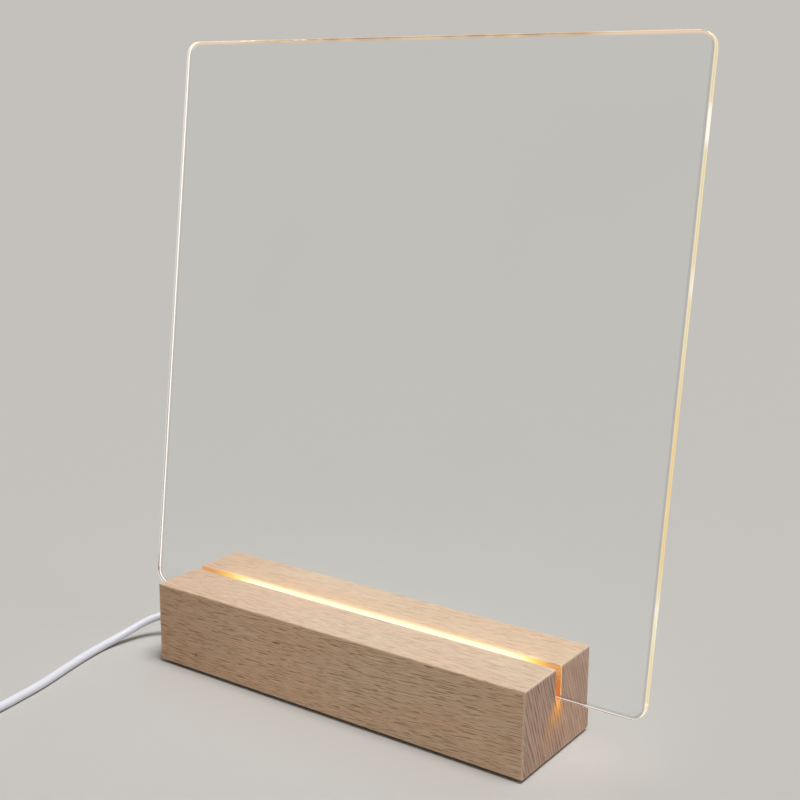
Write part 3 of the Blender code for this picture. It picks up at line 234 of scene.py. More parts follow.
def new_group(name, given, made):
    """A shader node group: the group, what it is given and what it makes."""
    group = bpy.data.node_groups.new(name, "ShaderNodeTree")
    for way, rows in (("INPUT", given), ("OUTPUT", made)):
        for label, kind in rows:
            group.interface.new_socket(label, in_out=way, socket_type="NodeSocket" + kind)
    return group, group.nodes.new("NodeGroupInput").outputs, group.nodes.new("NodeGroupOutput").inputs


def vessel_dashes(tree, along, across, cell, dash):
    """Short dark dashes, one to a cell, each with its own length and depth of colour. A cell and a dash are
    given as their sizes along the grain and across it. Each row of cells is shifted by 0.37 of a cell."""
    long, wide = cell
    length, thickness = dash
    wander = calc(tree, "MULTIPLY", noise(tree, flat_place(tree, along, across, 0.012, 0.003)), 0.7 * wide)
    staggered = calc(tree, "MULTIPLY_ADD", across, 0.37 * long / wide, along)
    place = flat_place(tree, staggered, calc(tree, "ADD", across, wander), long, wide)
    sockets = {"Vector": place, "Scale": 1.0, "Randomness": 0.85}
    cells = add(tree, "TexVoronoi", sockets, voronoi_dimensions="2D").outputs
    depth, share, _ = add(tree, "SeparateColor", {0: cells["Color"]}).outputs
    off = add(tree, "VectorMath", {0: place, 1: cells["Position"]}, operation="SUBTRACT").outputs[0]
    off_along, off_across, _ = add(tree, "SeparateXYZ", {0: off}).outputs
    own_length = calc(tree, "MULTIPLY_ADD", share, 0.6 * length / long, 0.2 * length / long)
    off_along = calc(tree, "DIVIDE", off_along, own_length)
    off = distance(tree, flat_place(tree, off_along, off_across, 1.0, 0.5 * thickness / wide))
    return product(tree, ramp(tree, off, 0.3, 1.1, 1.0, 0.0), ramp(tree, depth, 0.2, 1.0, 0.1, 1.0))


long_grain, given, made = new_group(
    "beech long grain",
    (("Along", "Float"), ("Across", "Float")),
    (("Dashes", "Float"), ("Fibres", "Float"), ("Clouds", "Float")),
)
tree = long_grain
along, across = given["Along"], given["Across"]
shifted = calc(tree, "ADD", along, 0.31)
bold = vessel_dashes(tree, along, across, (0.0090, 0.00080), (0.0062, 0.00026))
fine = vessel_dashes(tree, shifted, across, (0.0060, 0.00056), (0.0040, 0.00021))
thin = ramp(tree, noise(tree, flat_place(tree, along, across, 0.0075, 0.00018), detail=1.0), 0.55, 0.74)
dashes = calc(tree, "MAXIMUM", bold, calc(tree, "MULTIPLY", fine, 0.85))
dashes = calc(tree, "MAXIMUM", dashes, calc(tree, "MULTIPLY", thin, 0.30))
fibres = ramp(tree, noise(tree, flat_place(tree, along, across, 0.013, 0.00022)), 0.28, 0.72)
clouds = noise(tree, flat_place(tree, along, across, 0.060, 0.0100))
for name, value in (("Dashes", dashes), ("Fibres", fibres), ("Clouds", clouds)):
    tree.links.new(value, made[name])

end_grain, given, made = new_group(
    "beech end grain", (("Y", "Float"), ("Z", "Float")), (("Lines", "Float"), ("Bands", "Float"))
)
tree = end_grain
y, z = given["Y"], given["Z"]
across = calc(tree, "ADD", calc(tree, "MULTIPLY", y, END_WAY[0]), calc(tree, "MULTIPLY", z, END_WAY[1]))
along = calc(tree, "SUBTRACT", calc(tree, "MULTIPLY", y, END_WAY[1]), calc(tree, "MULTIPLY", z, END_WAY[0]))
wobble = calc(tree, "MULTIPLY", noise(tree, flat_place(tree, along, across, 0.040, 0.0045)), 11.0)
turns = calc(tree, "MULTIPLY_ADD", across, 2 * math.pi / END_LINE_SPACING, wobble)
rings = ramp(tree, calc(tree, "SINE", turns), -0.05, 0.95)
patchy = ramp(tree, noise(tree, flat_place(tree, along, across, 0.0055, 0.0011)), 0.35, 0.62, 0.45, 1.0)
thin = noise(tree, flat_place(tree, along, across, 0.009, 0.00036), detail=1.0)
thin = calc(tree, "MULTIPLY", ramp(tree, thin, 0.48, 0.72), 0.46)
lines = calc(tree, "MULTIPLY_ADD", rings, calc(tree, "MULTIPLY", patchy, 0.74), thin)
tree.links.new(lines, made["Lines"])
tree.links.new(noise(tree, flat_place(tree, along, across, 0.060, 0.0045), detail=3.0), made["Bands"])

beech, tree = new_material("oiled beech")
here = add(tree, "TexCoord").outputs
x, y, z = add(tree, "SeparateXYZ", {0: here["Object"]}).outputs
facing = [calc(tree, "ABSOLUTE", part) for part in add(tree, "SeparateXYZ", {0: here["Normal"]}).outputs]
on_end = ramp(tree, facing[0], *FACE_TURN)
on_top = ramp(tree, facing[2], *FACE_TURN)
climb = calc(tree, "MULTIPLY_ADD", x, GRAIN_BOW, GRAIN_CLIMB)
side_across = calc(tree, "SUBTRACT", z, calc(tree, "MULTIPLY", x, climb))
top_across = calc(tree, "ADD", 0.1, calc(tree, "SUBTRACT", y, calc(tree, "MULTIPLY", x, GRAIN_SLANT)))
across = add(tree, "Mix", {0: on_top, 2: side_across, 3: top_across}).outputs[0]
dashes, fibres, clouds = add(tree, "Group", {"Along": x, "Across": across}, node_tree=long_grain).outputs
lines, bands = add(tree, "Group", {"Y": y, "Z": z}, node_tree=end_grain).outputs

# The sides and the top: warm and pale, with a pinker cast in cloudy patches and a little painted shade to
# the left. The sides' colour is the wood's own tone with painted shade in it, a little darker and warmer than
# the top. Fibre streaks lie under the dashes, and both are fainter on the top.
colour = tint(tree, on_top, SIDE_BEECH_WITH_PAINTED_SHADE, TOP_BEECH)
pinker = ramp(tree, calc(tree, "ADD", x, z), -0.07, 0.03, 0.24, -0.04)
pinker = ramp(tree, calc(tree, "ADD", clouds, pinker), 0.32, 0.70)
cast = tint(tree, pinker, (0.985, 0.990, 0.955), (1.010, 0.955, 0.91))
colour = tint(tree, 1.0, colour, cast, "MULTIPLY")
# Painted light: the top behind the slot is tinted warmer, standing in for the sheet's glow falling on it.
glow_on_rear_top = calc(tree, "MULTIPLY", on_top, ramp(tree, y, 0.002, 0.006))
colour = tint(tree, glow_on_rear_top, colour, (1.06, 1.0, 0.93), "MULTIPLY")
streak = calc(tree, "MULTIPLY_ADD", fibres, calc(tree, "MULTIPLY_ADD", on_top, -0.10, 0.26), 0.87)
# Painted shade: the wood is darkened towards its left end, more on the sides than on the top.
left_shade = calc(tree, "MULTIPLY_ADD", on_top, 0.070, 0.850)
streak = calc(tree, "MULTIPLY", streak, ramp(tree, x, -0.075, -0.020, left_shade, 1.0))
streaks = shading(tree, streak, calc(tree, "POWER", streak, 1.25), calc(tree, "POWER", streak, 1.5))
colour = tint(tree, 1.0, colour, streaks, "MULTIPLY")
boldness = calc(tree, "MULTIPLY_ADD", on_top, -0.36, ramp(tree, x, -0.030, 0.050, 1.20, 1.26))
colour = tint(tree, calc(tree, "MULTIPLY", dashes, boldness), colour, DASH_BEECH)

# The sawn ends: darker, banded and lined, the half behind the slot paler with fainter lines.
end_colour = tint(tree, ramp(tree, bands, 0.3, 0.7), END_BEECH, [0.86 * part for part in END_BEECH])
far_half = ramp(tree, y, -0.002, 0.006)
line_strength = calc(tree, "MULTIPLY_ADD", far_half, -0.30, 0.92)
end_colour = tint(tree, calc(tree, "MULTIPLY", lines, line_strength), end_colour, END_LINE_BEECH)
end_colour = tint(tree, far_half, end_colour, (1.13, 1.09, 1.06), "MULTIPLY")
# Painted shade: the sawn end darkens towards the bottom.
end_colour = tint(tree, ramp(tree, z, 0.004, 0.014, 1.0, 0.0), end_colour, (0.96, 0.95, 0.91), "MULTIPLY")
colour = tint(tree, on_end, colour, end_colour)

# The edges are worn pale by handling, in a ragged line with a nick here and there, and the pale band also
# holds a painted highlight where light catches the eased edges. A point's distance from the nearest edge is
# the middle one of its distances from the three pairs of faces.
to_faces = []
for part, low, high in zip((x, y, z), BLOCK_LOW, BLOCK_HIGH):
    from_middle = calc(tree, "ABSOLUTE", calc(tree, "SUBTRACT", part, (low + high) / 2))
    to_faces.append(calc(tree, "SUBTRACT", (high - low) / 2, from_middle))
nearest = calc(tree, "MINIMUM", to_faces[0], calc(tree, "MINIMUM", to_faces[1], to_faces[2]))
furthest = calc(tree, "MAXIMUM", to_faces[0], calc(tree, "MAXIMUM", to_faces[1], to_faces[2]))
to_edge = calc(tree, "ADD", to_faces[0], calc(tree, "ADD", to_faces[1], to_faces[2]))
to_edge = calc(tree, "SUBTRACT", to_edge, calc(tree, "ADD", nearest, furthest))
raggedness = noise(tree, here["Object"], 420.0, 2.0, "3D")
at_edge = ramp(tree, calc(tree, "MULTIPLY_ADD", raggedness, 0.0013, to_edge), 0.0009, 0.0017, 1.0, 0.0)
nicks = ramp(tree, noise(tree, here["Object"], 130.0, 1.0, "3D"), 0.66, 0.74)
nicks = calc(tree, "MULTIPLY", nicks, ramp(tree, to_edge, 0.0010, 0.0015, 0.8, 0.0))
# Real wear and painted highlight: the pale band along the edges.
worn = calc(tree, "MULTIPLY", at_edge, ramp(tree, raggedness, 0.35, 0.60, 0.15, 0.65))
colour = tint(tree, calc(tree, "MAXIMUM", worn, nicks), colour, EDGE_BEECH_WEAR_AND_HIGHLIGHT)

# Two marks in the front: a pin knot low on the left, and one short red-brown vessel streak further along.
# Each has its place in x and z, its half length and half height, and its strength.
KNOT = (-0.0576, 0.0068, 0.0011, 0.0009, 0.55)
DARK_VESSEL = (-0.0204, 0.0209, 0.0021, 0.00042, 0.9)
marks = 0.0
for mark_x, mark_z, long, wide, strength in (KNOT, DARK_VESSEL):
    off_x = calc(tree, "SUBTRACT", x, mark_x)
    off_z = calc(tree, "MULTIPLY_ADD", off_x, -0.05, calc(tree, "SUBTRACT", z, mark_z))
    off = distance(tree, flat_place(tree, off_x, off_z, long, wide))
    marks = calc(tree, "MULTIPLY_ADD", ramp(tree, off, 0.45, 1.05, 1.0, 0.0), strength, marks)
on_front = calc(tree, "LESS_THAN", y, BLOCK_LOW.y + 0.0005)
colour = tint(tree, calc(tree, "MULTIPLY", marks, on_front), colour, MARK_BEECH)

# The slot's walls are almost white over the lights, and a little more golden at the brim. Just past them they
# are gold, and on to the slot's open ends they go from amber at the brim down to embers at the floor.
OVER_LIGHTS = ((-0.062, -0.048), (0.0575, 0.0675))
NEAR_LIGHTS = ((-0.071, -0.055), (0.0635, 0.0725))
HOT_GLOW = (1.16, 1.06, 0.80)
GOLD_GLOW = (0.95, 0.72, 0.14)
AMBER_GLOW = (0.60, 0.30, 0.105)
EMBER_GLOW = (0.44, 0.12, 0.02)
over_lights = between(tree, x, *OVER_LIGHTS)
near_lights = between(tree, x, *NEAR_LIGHTS)
from_slot = calc(tree, "SUBTRACT", calc(tree, "ABSOLUTE", y), SLOT_HALF_WIDTH)
above_floor = calc(tree, "GREATER_THAN", z, SLOT_FLOOR - 0.0002)
in_slot = calc(tree, "MULTIPLY", calc(tree, "LESS_THAN", from_slot, 0.00004), above_floor)
whiteness = ramp(tree, z, BLOCK_HIGH.z - 0.0010, BLOCK_HIGH.z, 1.0, 0.60)
up_wall = ramp(tree, z, SLOT_FLOOR + 0.003, BLOCK_HIGH.z - 0.001)
flecks = calc(tree, "MULTIPLY_ADD", dashes, -0.25, 1.0)
slot_light = tint(tree, up_wall, EMBER_GLOW, AMBER_GLOW)
slot_light = tint(tree, 1.0, slot_light, shading(tree, flecks, flecks, flecks), "MULTIPLY")
slot_light = tint(tree, near_lights, slot_light, GOLD_GLOW)
slot_light = tint(tree, calc(tree, "MULTIPLY", over_lights, whiteness), slot_light, HOT_GLOW)
slot_light = tint(tree, in_slot, NO_LIGHT, slot_light)

# A narrow halo and a faint wide glow of painted slot light lie along the top behind the slot, and hardly
# any in front of it.
behind = calc(tree, "MULTIPLY_ADD", calc(tree, "GREATER_THAN", y, 0.0), 0.88, 0.12)
lit_top = product(tree, on_top, calc(tree, "GREATER_THAN", z, BLOCK_HIGH.z - 0.0008), behind)
lit_top = calc(tree, "MULTIPLY", lit_top, calc(tree, "SUBTRACT", near_lights, in_slot, clamp=True))
halo = calc(tree, "POWER", ramp(tree, from_slot, 0.0, 0.0026, 1.0, 0.0), 2.0)
wide_glow = ramp(tree, from_slot, 0.0, 0.0075, 1.0, 0.0)
halo_light = tint(tree, halo, NO_LIGHT, (0.28, 0.23, 0.05))
halo_light = tint(tree, wide_glow, halo_light, (0.095, 0.038, 0.004), "ADD")
halo_light = tint(tree, lit_top, NO_LIGHT, halo_light)

# Light leaks out of the slot's end as a fan in the end grain below it and a bright line beside its mouth.
# Each layer of the fan has its lean, spread, greatest half width, how far down it reaches, and its share.
FAN_LAYERS = (
    (0.13, 0.35, 0.0060, 0.009, 0.50),
    (0.10, 0.85, 0.0080, 0.014, 0.20),
    (0.38, 1.00, 0.0085, 0.021, 0.28),
)
below = calc(tree, "SUBTRACT", SLOT_FLOOR, z)
fan = 0.0
for lean, spread, widest, reach, share in FAN_LAYERS:
    middle = calc(tree, "ABSOLUTE", calc(tree, "MULTIPLY_ADD", below, lean, y))
    half = calc(tree, "MINIMUM", calc(tree, "MULTIPLY_ADD", below, spread, SLOT_HALF_WIDTH), widest)
    layer = ramp(tree, calc(tree, "DIVIDE", middle, half), 0.1, 1.1, share, 0.0)
    fading = calc(tree, "POWER", ramp(tree, below, 0.0, reach, 1.0, 0.0), 1.3)
    fan = calc(tree, "MULTIPLY_ADD", layer, fading, fan)
at_end = calc(tree, "MULTIPLY", on_end, calc(tree, "SUBTRACT", 1.0, in_slot))
between_lines = calc(tree, "SUBTRACT", 1.25, calc(tree, "MULTIPLY", lines, 0.8))
fan = product(tree, fan, calc(tree, "GREATER_THAN", below, 0.0), between_lines, at_end)
fan_light = tint(tree, fan, NO_LIGHT, (0.53, 0.205, 0.008))
mouth = calc(tree, "MULTIPLY", ramp(tree, from_slot, 0.00035, 0.0008, 1.0, 0.0), behind)
mouth = product(tree, mouth, calc(tree, "GREATER_THAN", z, SLOT_FLOOR), at_end)
mouth_light = tint(tree, mouth, NO_LIGHT, (0.60, 0.34, 0.09))
# Painted light: under the fan the wood's own colour is made deeper amber.
colour = tint(tree, calc(tree, "MULTIPLY", fan, 1.6, clamp=True), colour, (0.87, 0.63, 0.35), "MULTIPLY")
# Painted shade: inside the slot the wood's colour is made darker and warmer.
colour = tint(tree, in_slot, colour, (0.50, 0.30, 0.14), "MULTIPLY")
light = slot_light
for more in (halo_light, fan_light, mouth_light):
    light = tint(tree, 1.0, light, more, "ADD")

long_height = calc(tree, "SUBTRACT", calc(tree, "MULTIPLY", fibres, 0.35), dashes)
end_height = calc(tree, "MULTIPLY", lines, -0.6)
height = add(tree, "Mix", {0: on_end, 2: long_height, 3: end_height}).outputs[0]
bump = add(tree, "Bump", {"Strength": 0.5, "Distance": 0.00012, "Height": height})
sockets = {
    "Base Color": colour,
    "Roughness": calc(tree, "MULTIPLY_ADD", fibres, 0.18, 0.46),
    "Normal": bump.outputs[0],
    "Emission Color": light,
    "Emission Strength": 1.0,
}
show(tree, add(tree, "BsdfPrincipled", sockets))


def dress(material, *names):
    """Gives pieces that come from the CAD model their finish."""
    for name in names:
        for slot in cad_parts[name].material_slots:
            slot.material = material


dress(beech, "base_block")


# The sheet is clear cast acrylic with rounded corners and polished edges. It stands loose in the slot and
# leans back. Light that enters its foot runs up inside it and comes out at its rim. Seen from outside, that
# is a band of cream light. Seen through the sheet, it is mostly two sharp lines, and tan along the top.
LEAN_BACK = Vector((0, 0.12233, 0.99249))
LEAN_NORMAL = Vector((0, 0.99249, -0.12233))
SHEET_CORNER = 0.005
CREAM_RIM = (0.82, 0.69, 0.43)
GOLDEN_RIM = (0.82, 0.60, 0.26)
RIM_MIDDLE = (0.60, 0.46, 0.26)
BRIGHT_RIM = (0.96, 0.90, 0.78)
SHARP_LINE = (1.10, 0.98, 0.89)
CLEAR_BODY = (0.965, 0.978, 0.980)


def along_axis(tree, vector, axis):
    """How far a vector goes along an axis."""
    return add(tree, "VectorMath", {0: vector, 1: axis}, operation="DOT_PRODUCT").outputs["Value"]


def past(tree, value, limit):
    """How far a value lies past a limit on either side of zero."""
    beyond = calc(tree, "SUBTRACT", calc(tree, "ABSOLUTE", value), limit)
    return calc(tree, "MAXIMUM", beyond, 0.0)


acrylic, tree = new_material("clear cast acrylic")
corners = [corner.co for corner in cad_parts["acrylic_sheet"].data.vertices]
middles, halves = [], []
for axis in (Vector((1, 0, 0)), LEAN_BACK, LEAN_NORMAL):
    reaches = [axis @ corner for corner in corners]
    middles.append((max(reaches) + min(reaches)) / 2)
    halves.append((max(reaches) - min(reaches)) / 2)
here = add(tree, "TexCoord").outputs
place, facing = here["Object"], here["Normal"]
across = calc(tree, "SUBTRACT", add(tree, "SeparateXYZ", {0: place}).outputs[0], middles[0])
up = calc(tree, "SUBTRACT", along_axis(tree, place, LEAN_BACK), middles[1])
depth = calc(tree, "SUBTRACT", along_axis(tree, place, LEAN_NORMAL), middles[2])
past_side = past(tree, across, halves[0] - SHEET_CORNER)
past_end = past(tree, up, halves[1] - SHEET_CORNER)
from_corner = calc(tree, "ADD", calc(tree, "POWER", past_side, 2.0), calc(tree, "POWER", past_end, 2.0))
from_corner = calc(tree, "SQRT", from_corner)
from_outline = calc(tree, "SUBTRACT", SHEET_CORNER, from_corner)
upward = calc(tree, "DIVIDE", past_end, calc(tree, "MAXIMUM", from_corner, 0.0001))
upward = calc(tree, "MULTIPLY", calc(tree, "SIGN", up), upward)
top = ramp(tree, upward, 0.25, 0.85)
foot = ramp(tree, upward, -0.9, -0.4, 1.0, 0.0)
on_rim = ramp(tree, calc(tree, "ABSOLUTE", along_axis(tree, facing, LEAN_NORMAL)), 0.45, 0.85, 1.0, 0.0)
beside_rim = ramp(tree, from_outline, 0.0007, 0.0011, 1.0, 0.0)
beside_rim = calc(tree, "MULTIPLY", beside_rim, calc(tree, "SUBTRACT", 1.0, on_rim))
ripple = noise(tree, place, 150.0, 3.0, "3D")

# The rim from outside: cream, golden from a fifth to a half of the way up, darker along its middle, and
# brightest in a few short stretches and near the top.
golden = between(tree, up, (-0.064, -0.050), (-0.014, 0.014))
outer = tint(tree, golden, CREAM_RIM, GOLDEN_RIM)
outer = tint(tree, ramp(tree, calc(tree, "ABSOLUTE", depth), 0.0002, 0.0009, 0.5, 0.0), outer, RIM_MIDDLE)
flicker = ramp(tree, noise(tree, place, 33.0, 2.0, "3D"), 0.58, 0.70)
high_up = ramp(tree, calc(tree, "ABSOLUTE", calc(tree, "SUBTRACT", up, 0.074)), 0.003, 0.008, 1.0, 0.0)
outer = tint(tree, calc(tree, "MAXIMUM", flicker, high_up), outer, BRIGHT_RIM)

# The rim through the sheet: a line at its rear edge, one at its front edge that is weak except at the foot,
# and along the top a tan band, brighter near the corners and where the light ripples.
rear_line = ramp(tree, depth, halves[2] - 0.0010, halves[2] - 0.0005)
front_line = ramp(tree, depth, 0.0004 - halves[2], 0.0008 - halves[2], 1.0, 0.0)
front_line = calc(tree, "MULTIPLY", front_line, 0.45)
foot_line = product(tree, front_line, foot, 2.2)
lines = calc(tree, "MAXIMUM", rear_line, calc(tree, "MAXIMUM", front_line, foot_line))
lines = calc(tree, "MAXIMUM", lines, ramp(tree, up, -0.080, 0.095, 0.05, 0.35))
inner = tint(tree, lines, NO_LIGHT, SHARP_LINE)
near_corner = ramp(tree, across, -0.080, -0.060, 1.0, 0.0)
near_corner = calc(tree, "MAXIMUM", near_corner, ramp(tree, across, 0.055, 0.070))
rippling = ramp(tree, ripple, 0.35, 0.65, 0.0, 0.6)
brighter = calc(tree, "MAXIMUM", calc(tree, "MULTIPLY", near_corner, 0.85), rippling)
inner = tint(tree, top, inner, tint(tree, brighter, (0.42, 0.29, 0.18), (0.66, 0.52, 0.36)))
turning = calc(tree, "MULTIPLY", ramp(tree, past_side, 0.0, 0.0012), ramp(tree, past_end, 0.0, 0.0012))
inner = tint(tree, calc(tree, "MULTIPLY", turning, top), inner, (0.92, 0.80, 0.60))

glow = tint(tree, add(tree, "NewGeometry").outputs["Backfacing"], outer, inner)
glow = tint(tree, on_rim, NO_LIGHT, glow)
top_strip = tint(tree, brighter, (0.13, 0.09, 0.05), (0.28, 0.22, 0.15))
glow = tint(tree, calc(tree, "MULTIPLY", beside_rim, top), glow, top_strip)
# Painted shade: beside and on the rim the clear body is tinted darker and browner, which dims the bench seen
# through it there so that the painted rim light keeps its colour.
strip_tint = tint(tree, top, (0.72, 0.70, 0.68), (0.62, 0.50, 0.40))
body = tint(tree, beside_rim, CLEAR_BODY, strip_tint)
body = tint(tree, on_rim, body, (0.60, 0.56, 0.52))
smear = ramp(tree, noise(tree, place, 14.0, 3.0, "3D"), 0.45, 0.75)
body = tint(tree, calc(tree, "MULTIPLY", smear, 0.30), body, (0.95, 0.95, 0.95), "MULTIPLY")
sockets = {
    "Base Color": body,
    "Roughness": 0.0,
    "IOR": 1.49,
    "Transmission Weight": 1.0,
    "Emission Color": glow,
    "Emission Strength": 1.0,
}
surface = add(tree, "BsdfPrincipled", sockets)
clear = add(tree, "BsdfTransparent", {0: (0.95, 0.96, 0.96, 1)})
shadow_ray = add(tree, "LightPath").outputs["Is Shadow Ray"]
show(tree, add(tree, "MixShader", {0: shadow_ray, 1: surface.outputs[0], 2: clear.outputs[0]}))
dress(acrylic, "acrylic_sheet")


# The lead is round white PVC, 3 mm thick, with the dull, very fine skin of an extruded sheath. Its bush is
# moulded in the same white, the switch housing and the plug in one close to it. The lead leaves the block's
# left end, drops to the bench in one easy curve and runs forward to the switch.
LEAD_DIAMETER = 0.003
ROUTE_STEPS = 24  # from one point of a route to the next
BEND_COST = 0.006  # counted as extra length for each radian of bend, so that points gather there
LEAD_EXIT = Vector((-0.075, 0, 0.010))
SWITCH_ENTRY = Vector((-0.0883, -0.0965, 0.0046))
RUN_ROUTE = (  # x and y from the exit, and how much of the drop to the bench is still to come
    (-0.0096, -0.0004, 0.97),
    (-0.0134, -0.0023, 0.87),
    (-0.0170, -0.0053, 0.72),
    (-0.0198, -0.0092, 0.57),
    (-0.0219, -0.0148, 0.34),
    (-0.0234, -0.0205, 0.15),
    (-0.0240, -0.0279, 0.03),
    (-0.0222, -0.0400, 0),
    (-0.0201, -0.0492, 0),
    (-0.0178, -0.0585, 0),
    (-0.0163, -0.0664, 0),
    (-0.0153, -0.0740, 0),
    (-0.0144, -0.0813, 0),
    (-0.0136, -0.0880, 0.14),
)

moulded, given, made = new_group(
    "moulded skin",
    (("Colour", "Color"), ("Grain per metre", "Float"), ("Mottle", "Float"), ("Polish", "Float")),
    (("Colour", "Color"), ("Roughness", "Float"), ("Height", "Float")),
)
tree = moulded
here = add(tree, "TexCoord").outputs["Object"]
skin = add(tree, "TexNoise", {"Vector": here, "Scale": given["Grain per metre"], "Detail": 3.0}).outputs[0]
patches = noise(tree, here, 42.0, 3.0, "3D")
specks = ramp(tree, noise(tree, here, 520.0, 1.0, "3D"), 0.72, 0.80)
shade = calc(tree, "SUBTRACT", 1.0, calc(tree, "MULTIPLY", given["Mottle"], patches))
shade = calc(tree, "SUBTRACT", shade, product(tree, specks, given["Mottle"], 0.8))
mottled = tint(tree, 1.0, given["Colour"], shading(tree, shade, shade, shade), "MULTIPLY")
sheen = calc(tree, "ADD", given["Polish"], calc(tree, "MULTIPLY_ADD", skin, 0.16, -0.08))
sheen = calc(tree, "ADD", sheen, calc(tree, "MULTIPLY_ADD", patches, 0.16, -0.08))
for name, value in (("Colour", mottled), ("Roughness", sheen), ("Height", skin)):
    tree.links.new(value, made[name])


def show_skin(tree, skin, strength, relief, ease, metallic):
    """Shows what a skin's group makes: colour, roughness and surface, with the piece's small edges eased."""
    eased = add(tree, "Bevel", {"Radius": ease}, samples=6).outputs[0]
    sockets = {"Strength": strength, "Distance": relief, "Height": skin["Height"], "Normal": eased}
    normal = add(tree, "Bump", sockets).outputs[0]
    sockets = {"Base Color": skin["Colour"], "Roughness": skin["Roughness"], "Normal": normal}
    show(tree, add(tree, "BsdfPrincipled", {"Metallic": metallic, **sockets}))


def moulded_plastic(name, colour, grain, mottle, polish, relief, ease=0.0005):
    """A plastic finish: colour, grain per metre, unevenness, roughness, depth of surface and eased edges."""
    material, tree = new_material(name)
    sockets = {"Colour": (*colour, 1), "Grain per metre": grain, "Mottle": mottle, "Polish": polish}
    show_skin(tree, add(tree, "Group", sockets, node_tree=moulded).outputs, 0.6, relief, ease, 0.0)
    return material


def smooth_route(route, count):
    """The points of one smooth curve through a route, closer together where it bends."""
    route = [Vector(point) for point in route]
    route = [2 * route[0] - route[1], *route, 2 * route[-1] - route[-2]]
    fine = []
    for a, b, c, d in zip(route, route[1:], route[2:], route[3:]):
        knots = [0.0]
        for near, far in ((a, b), (b, c), (c, d)):
            knots.append(knots[-1] + math.sqrt((far - near).length))
        for step in range(ROUTE_STEPS):
            t = knots[1] + (knots[2] - knots[1]) * step / ROUTE_STEPS
            ab = a + (b - a) * ((t - knots[0]) / (knots[1] - knots[0]))
            bc = b + (c - b) * ((t - knots[1]) / (knots[2] - knots[1]))
            cd = c + (d - c) * ((t - knots[2]) / (knots[3] - knots[2]))
            abc = ab + (bc - ab) * ((t - knots[0]) / (knots[2] - knots[0]))
            bcd = bc + (cd - bc) * ((t - knots[1]) / (knots[3] - knots[1]))
            fine.append(abc + (bcd - abc) * ((t - knots[1]) / (knots[2] - knots[1])))
    fine = np.array([*fine, route[-2]])
    steps = np.diff(fine, axis=0)
    lengths = np.linalg.norm(steps, axis=1)
    ways = steps / lengths[:, None]
    turning = np.arccos(np.clip((ways[1:] * ways[:-1]).sum(1), -1, 1))
    cost = lengths.copy()
    cost[1:] += BEND_COST * turning
    cost[:-1] += BEND_COST * turning
    total = np.concatenate([[0], np.cumsum(cost)])
    wanted = np.linspace(0, total[-1], count)
    return np.stack([np.interp(wanted, total, fine[:, axis]) for axis in range(3)], 1)


def lead_piece(name, points, fineness, material):
    """A stretch of the lead: one smooth curve through its points, with a round sheath."""
    line = bpy.data.curves.new(name, "CURVE")
    line.dimensions = "3D"
    line.resolution_u = fineness
    line.bevel_depth = LEAD_DIAMETER / 2
    line.bevel_resolution = 4
    line.use_fill_caps = True
    spline = line.splines.new("BEZIER")
    spline.bezier_points.add(len(points) - 1)
    for knot, point in zip(spline.bezier_points, points):
        knot.co = point
        knot.handle_left_type = knot.handle_right_type = "AUTO"
    line.materials.append(material)
    piece = put_in_scene(name, line)
    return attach(piece, "base")


lead_pvc = moulded_plastic("white PVC sheath", (0.81, 0.82, 0.90), 2600.0, 0.10, 0.44, 0.00004)
housing_white = moulded_plastic("white moulded housing", (0.80, 0.80, 0.83), 1500.0, 0.06, 0.38, 0.00005)
bench_height = LEAD_DIAMETER / 2
drop = LEAD_EXIT.z - bench_height
run = [Vector((x, 0, LEAD_EXIT.z)) for x in (-0.053, -0.075, -0.0815)]
run += [Vector((LEAD_EXIT.x + x, y, bench_height + drop * share)) for x, y, share in RUN_ROUTE]
run += [SWITCH_ENTRY + Vector((0, y, 0)) for y in (0.0015, 0, -0.008)]
run_points = smooth_route(run, 26)
run_points[:, 2] = np.maximum(run_points[:, 2], bench_height)
lead_run = lead_piece("lead_run", run_points, 6, lead_pvc)
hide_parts("usb_lead_run")
switch_pieces = ["switch_lower_shell", "switch_upper_shell", "switch_rocker"]
switch_pieces += ["switch_screw_1", "switch_screw_2", "contact_bar", "contact_in", "contact_out"]
switch_pieces += ["switch_wire_in", "switch_wire_out", "switch_wire_through"]
dress(lead_pvc, "cable_bush")

# Beyond the switch the lead runs a few centimetres to the coil that holds the length the photograph doesn't
# show. The coil is wound in over a lower layer and out again over an upper one, and its end goes to the plug.
COIL_CENTRE = Vector((-0.1242, -0.1298, 0.00225))
COIL_MEAN_RADIUS = 0.0165
COIL_PITCH = 0.0036
COIL_LAYER_HEIGHT = 0.0036
COIL_LAYER_TURNS = 4.375
COIL_POINTS_A_TURN = 24
LEAD_STEP = LEAD_DIAMETER + 0.0002  # from one stretch of the lead to the next that lies against it
SWITCH_LEAVING = Vector((-0.0883, -0.1425, 0.0046))
LINK_ROUTE = (  # x and y from the switch, and how much of the way down to the coil is done
    (-0.0022, -0.0074, 0.45),
    (-0.0075, -0.0113, 0.85),
    (-0.0150, -0.0120, 1.0),
    (-0.0240, -0.0120, 1.0),
)
TAIL_LENGTH = 0.0106
TAIL_SHARES = ((0, 0), (0.25, 0.08), (0.5, 0.5), (0.75, 0.92), (1, 1))  # of its length, and of its drop
PLUG_HEIGHT = 0.0038


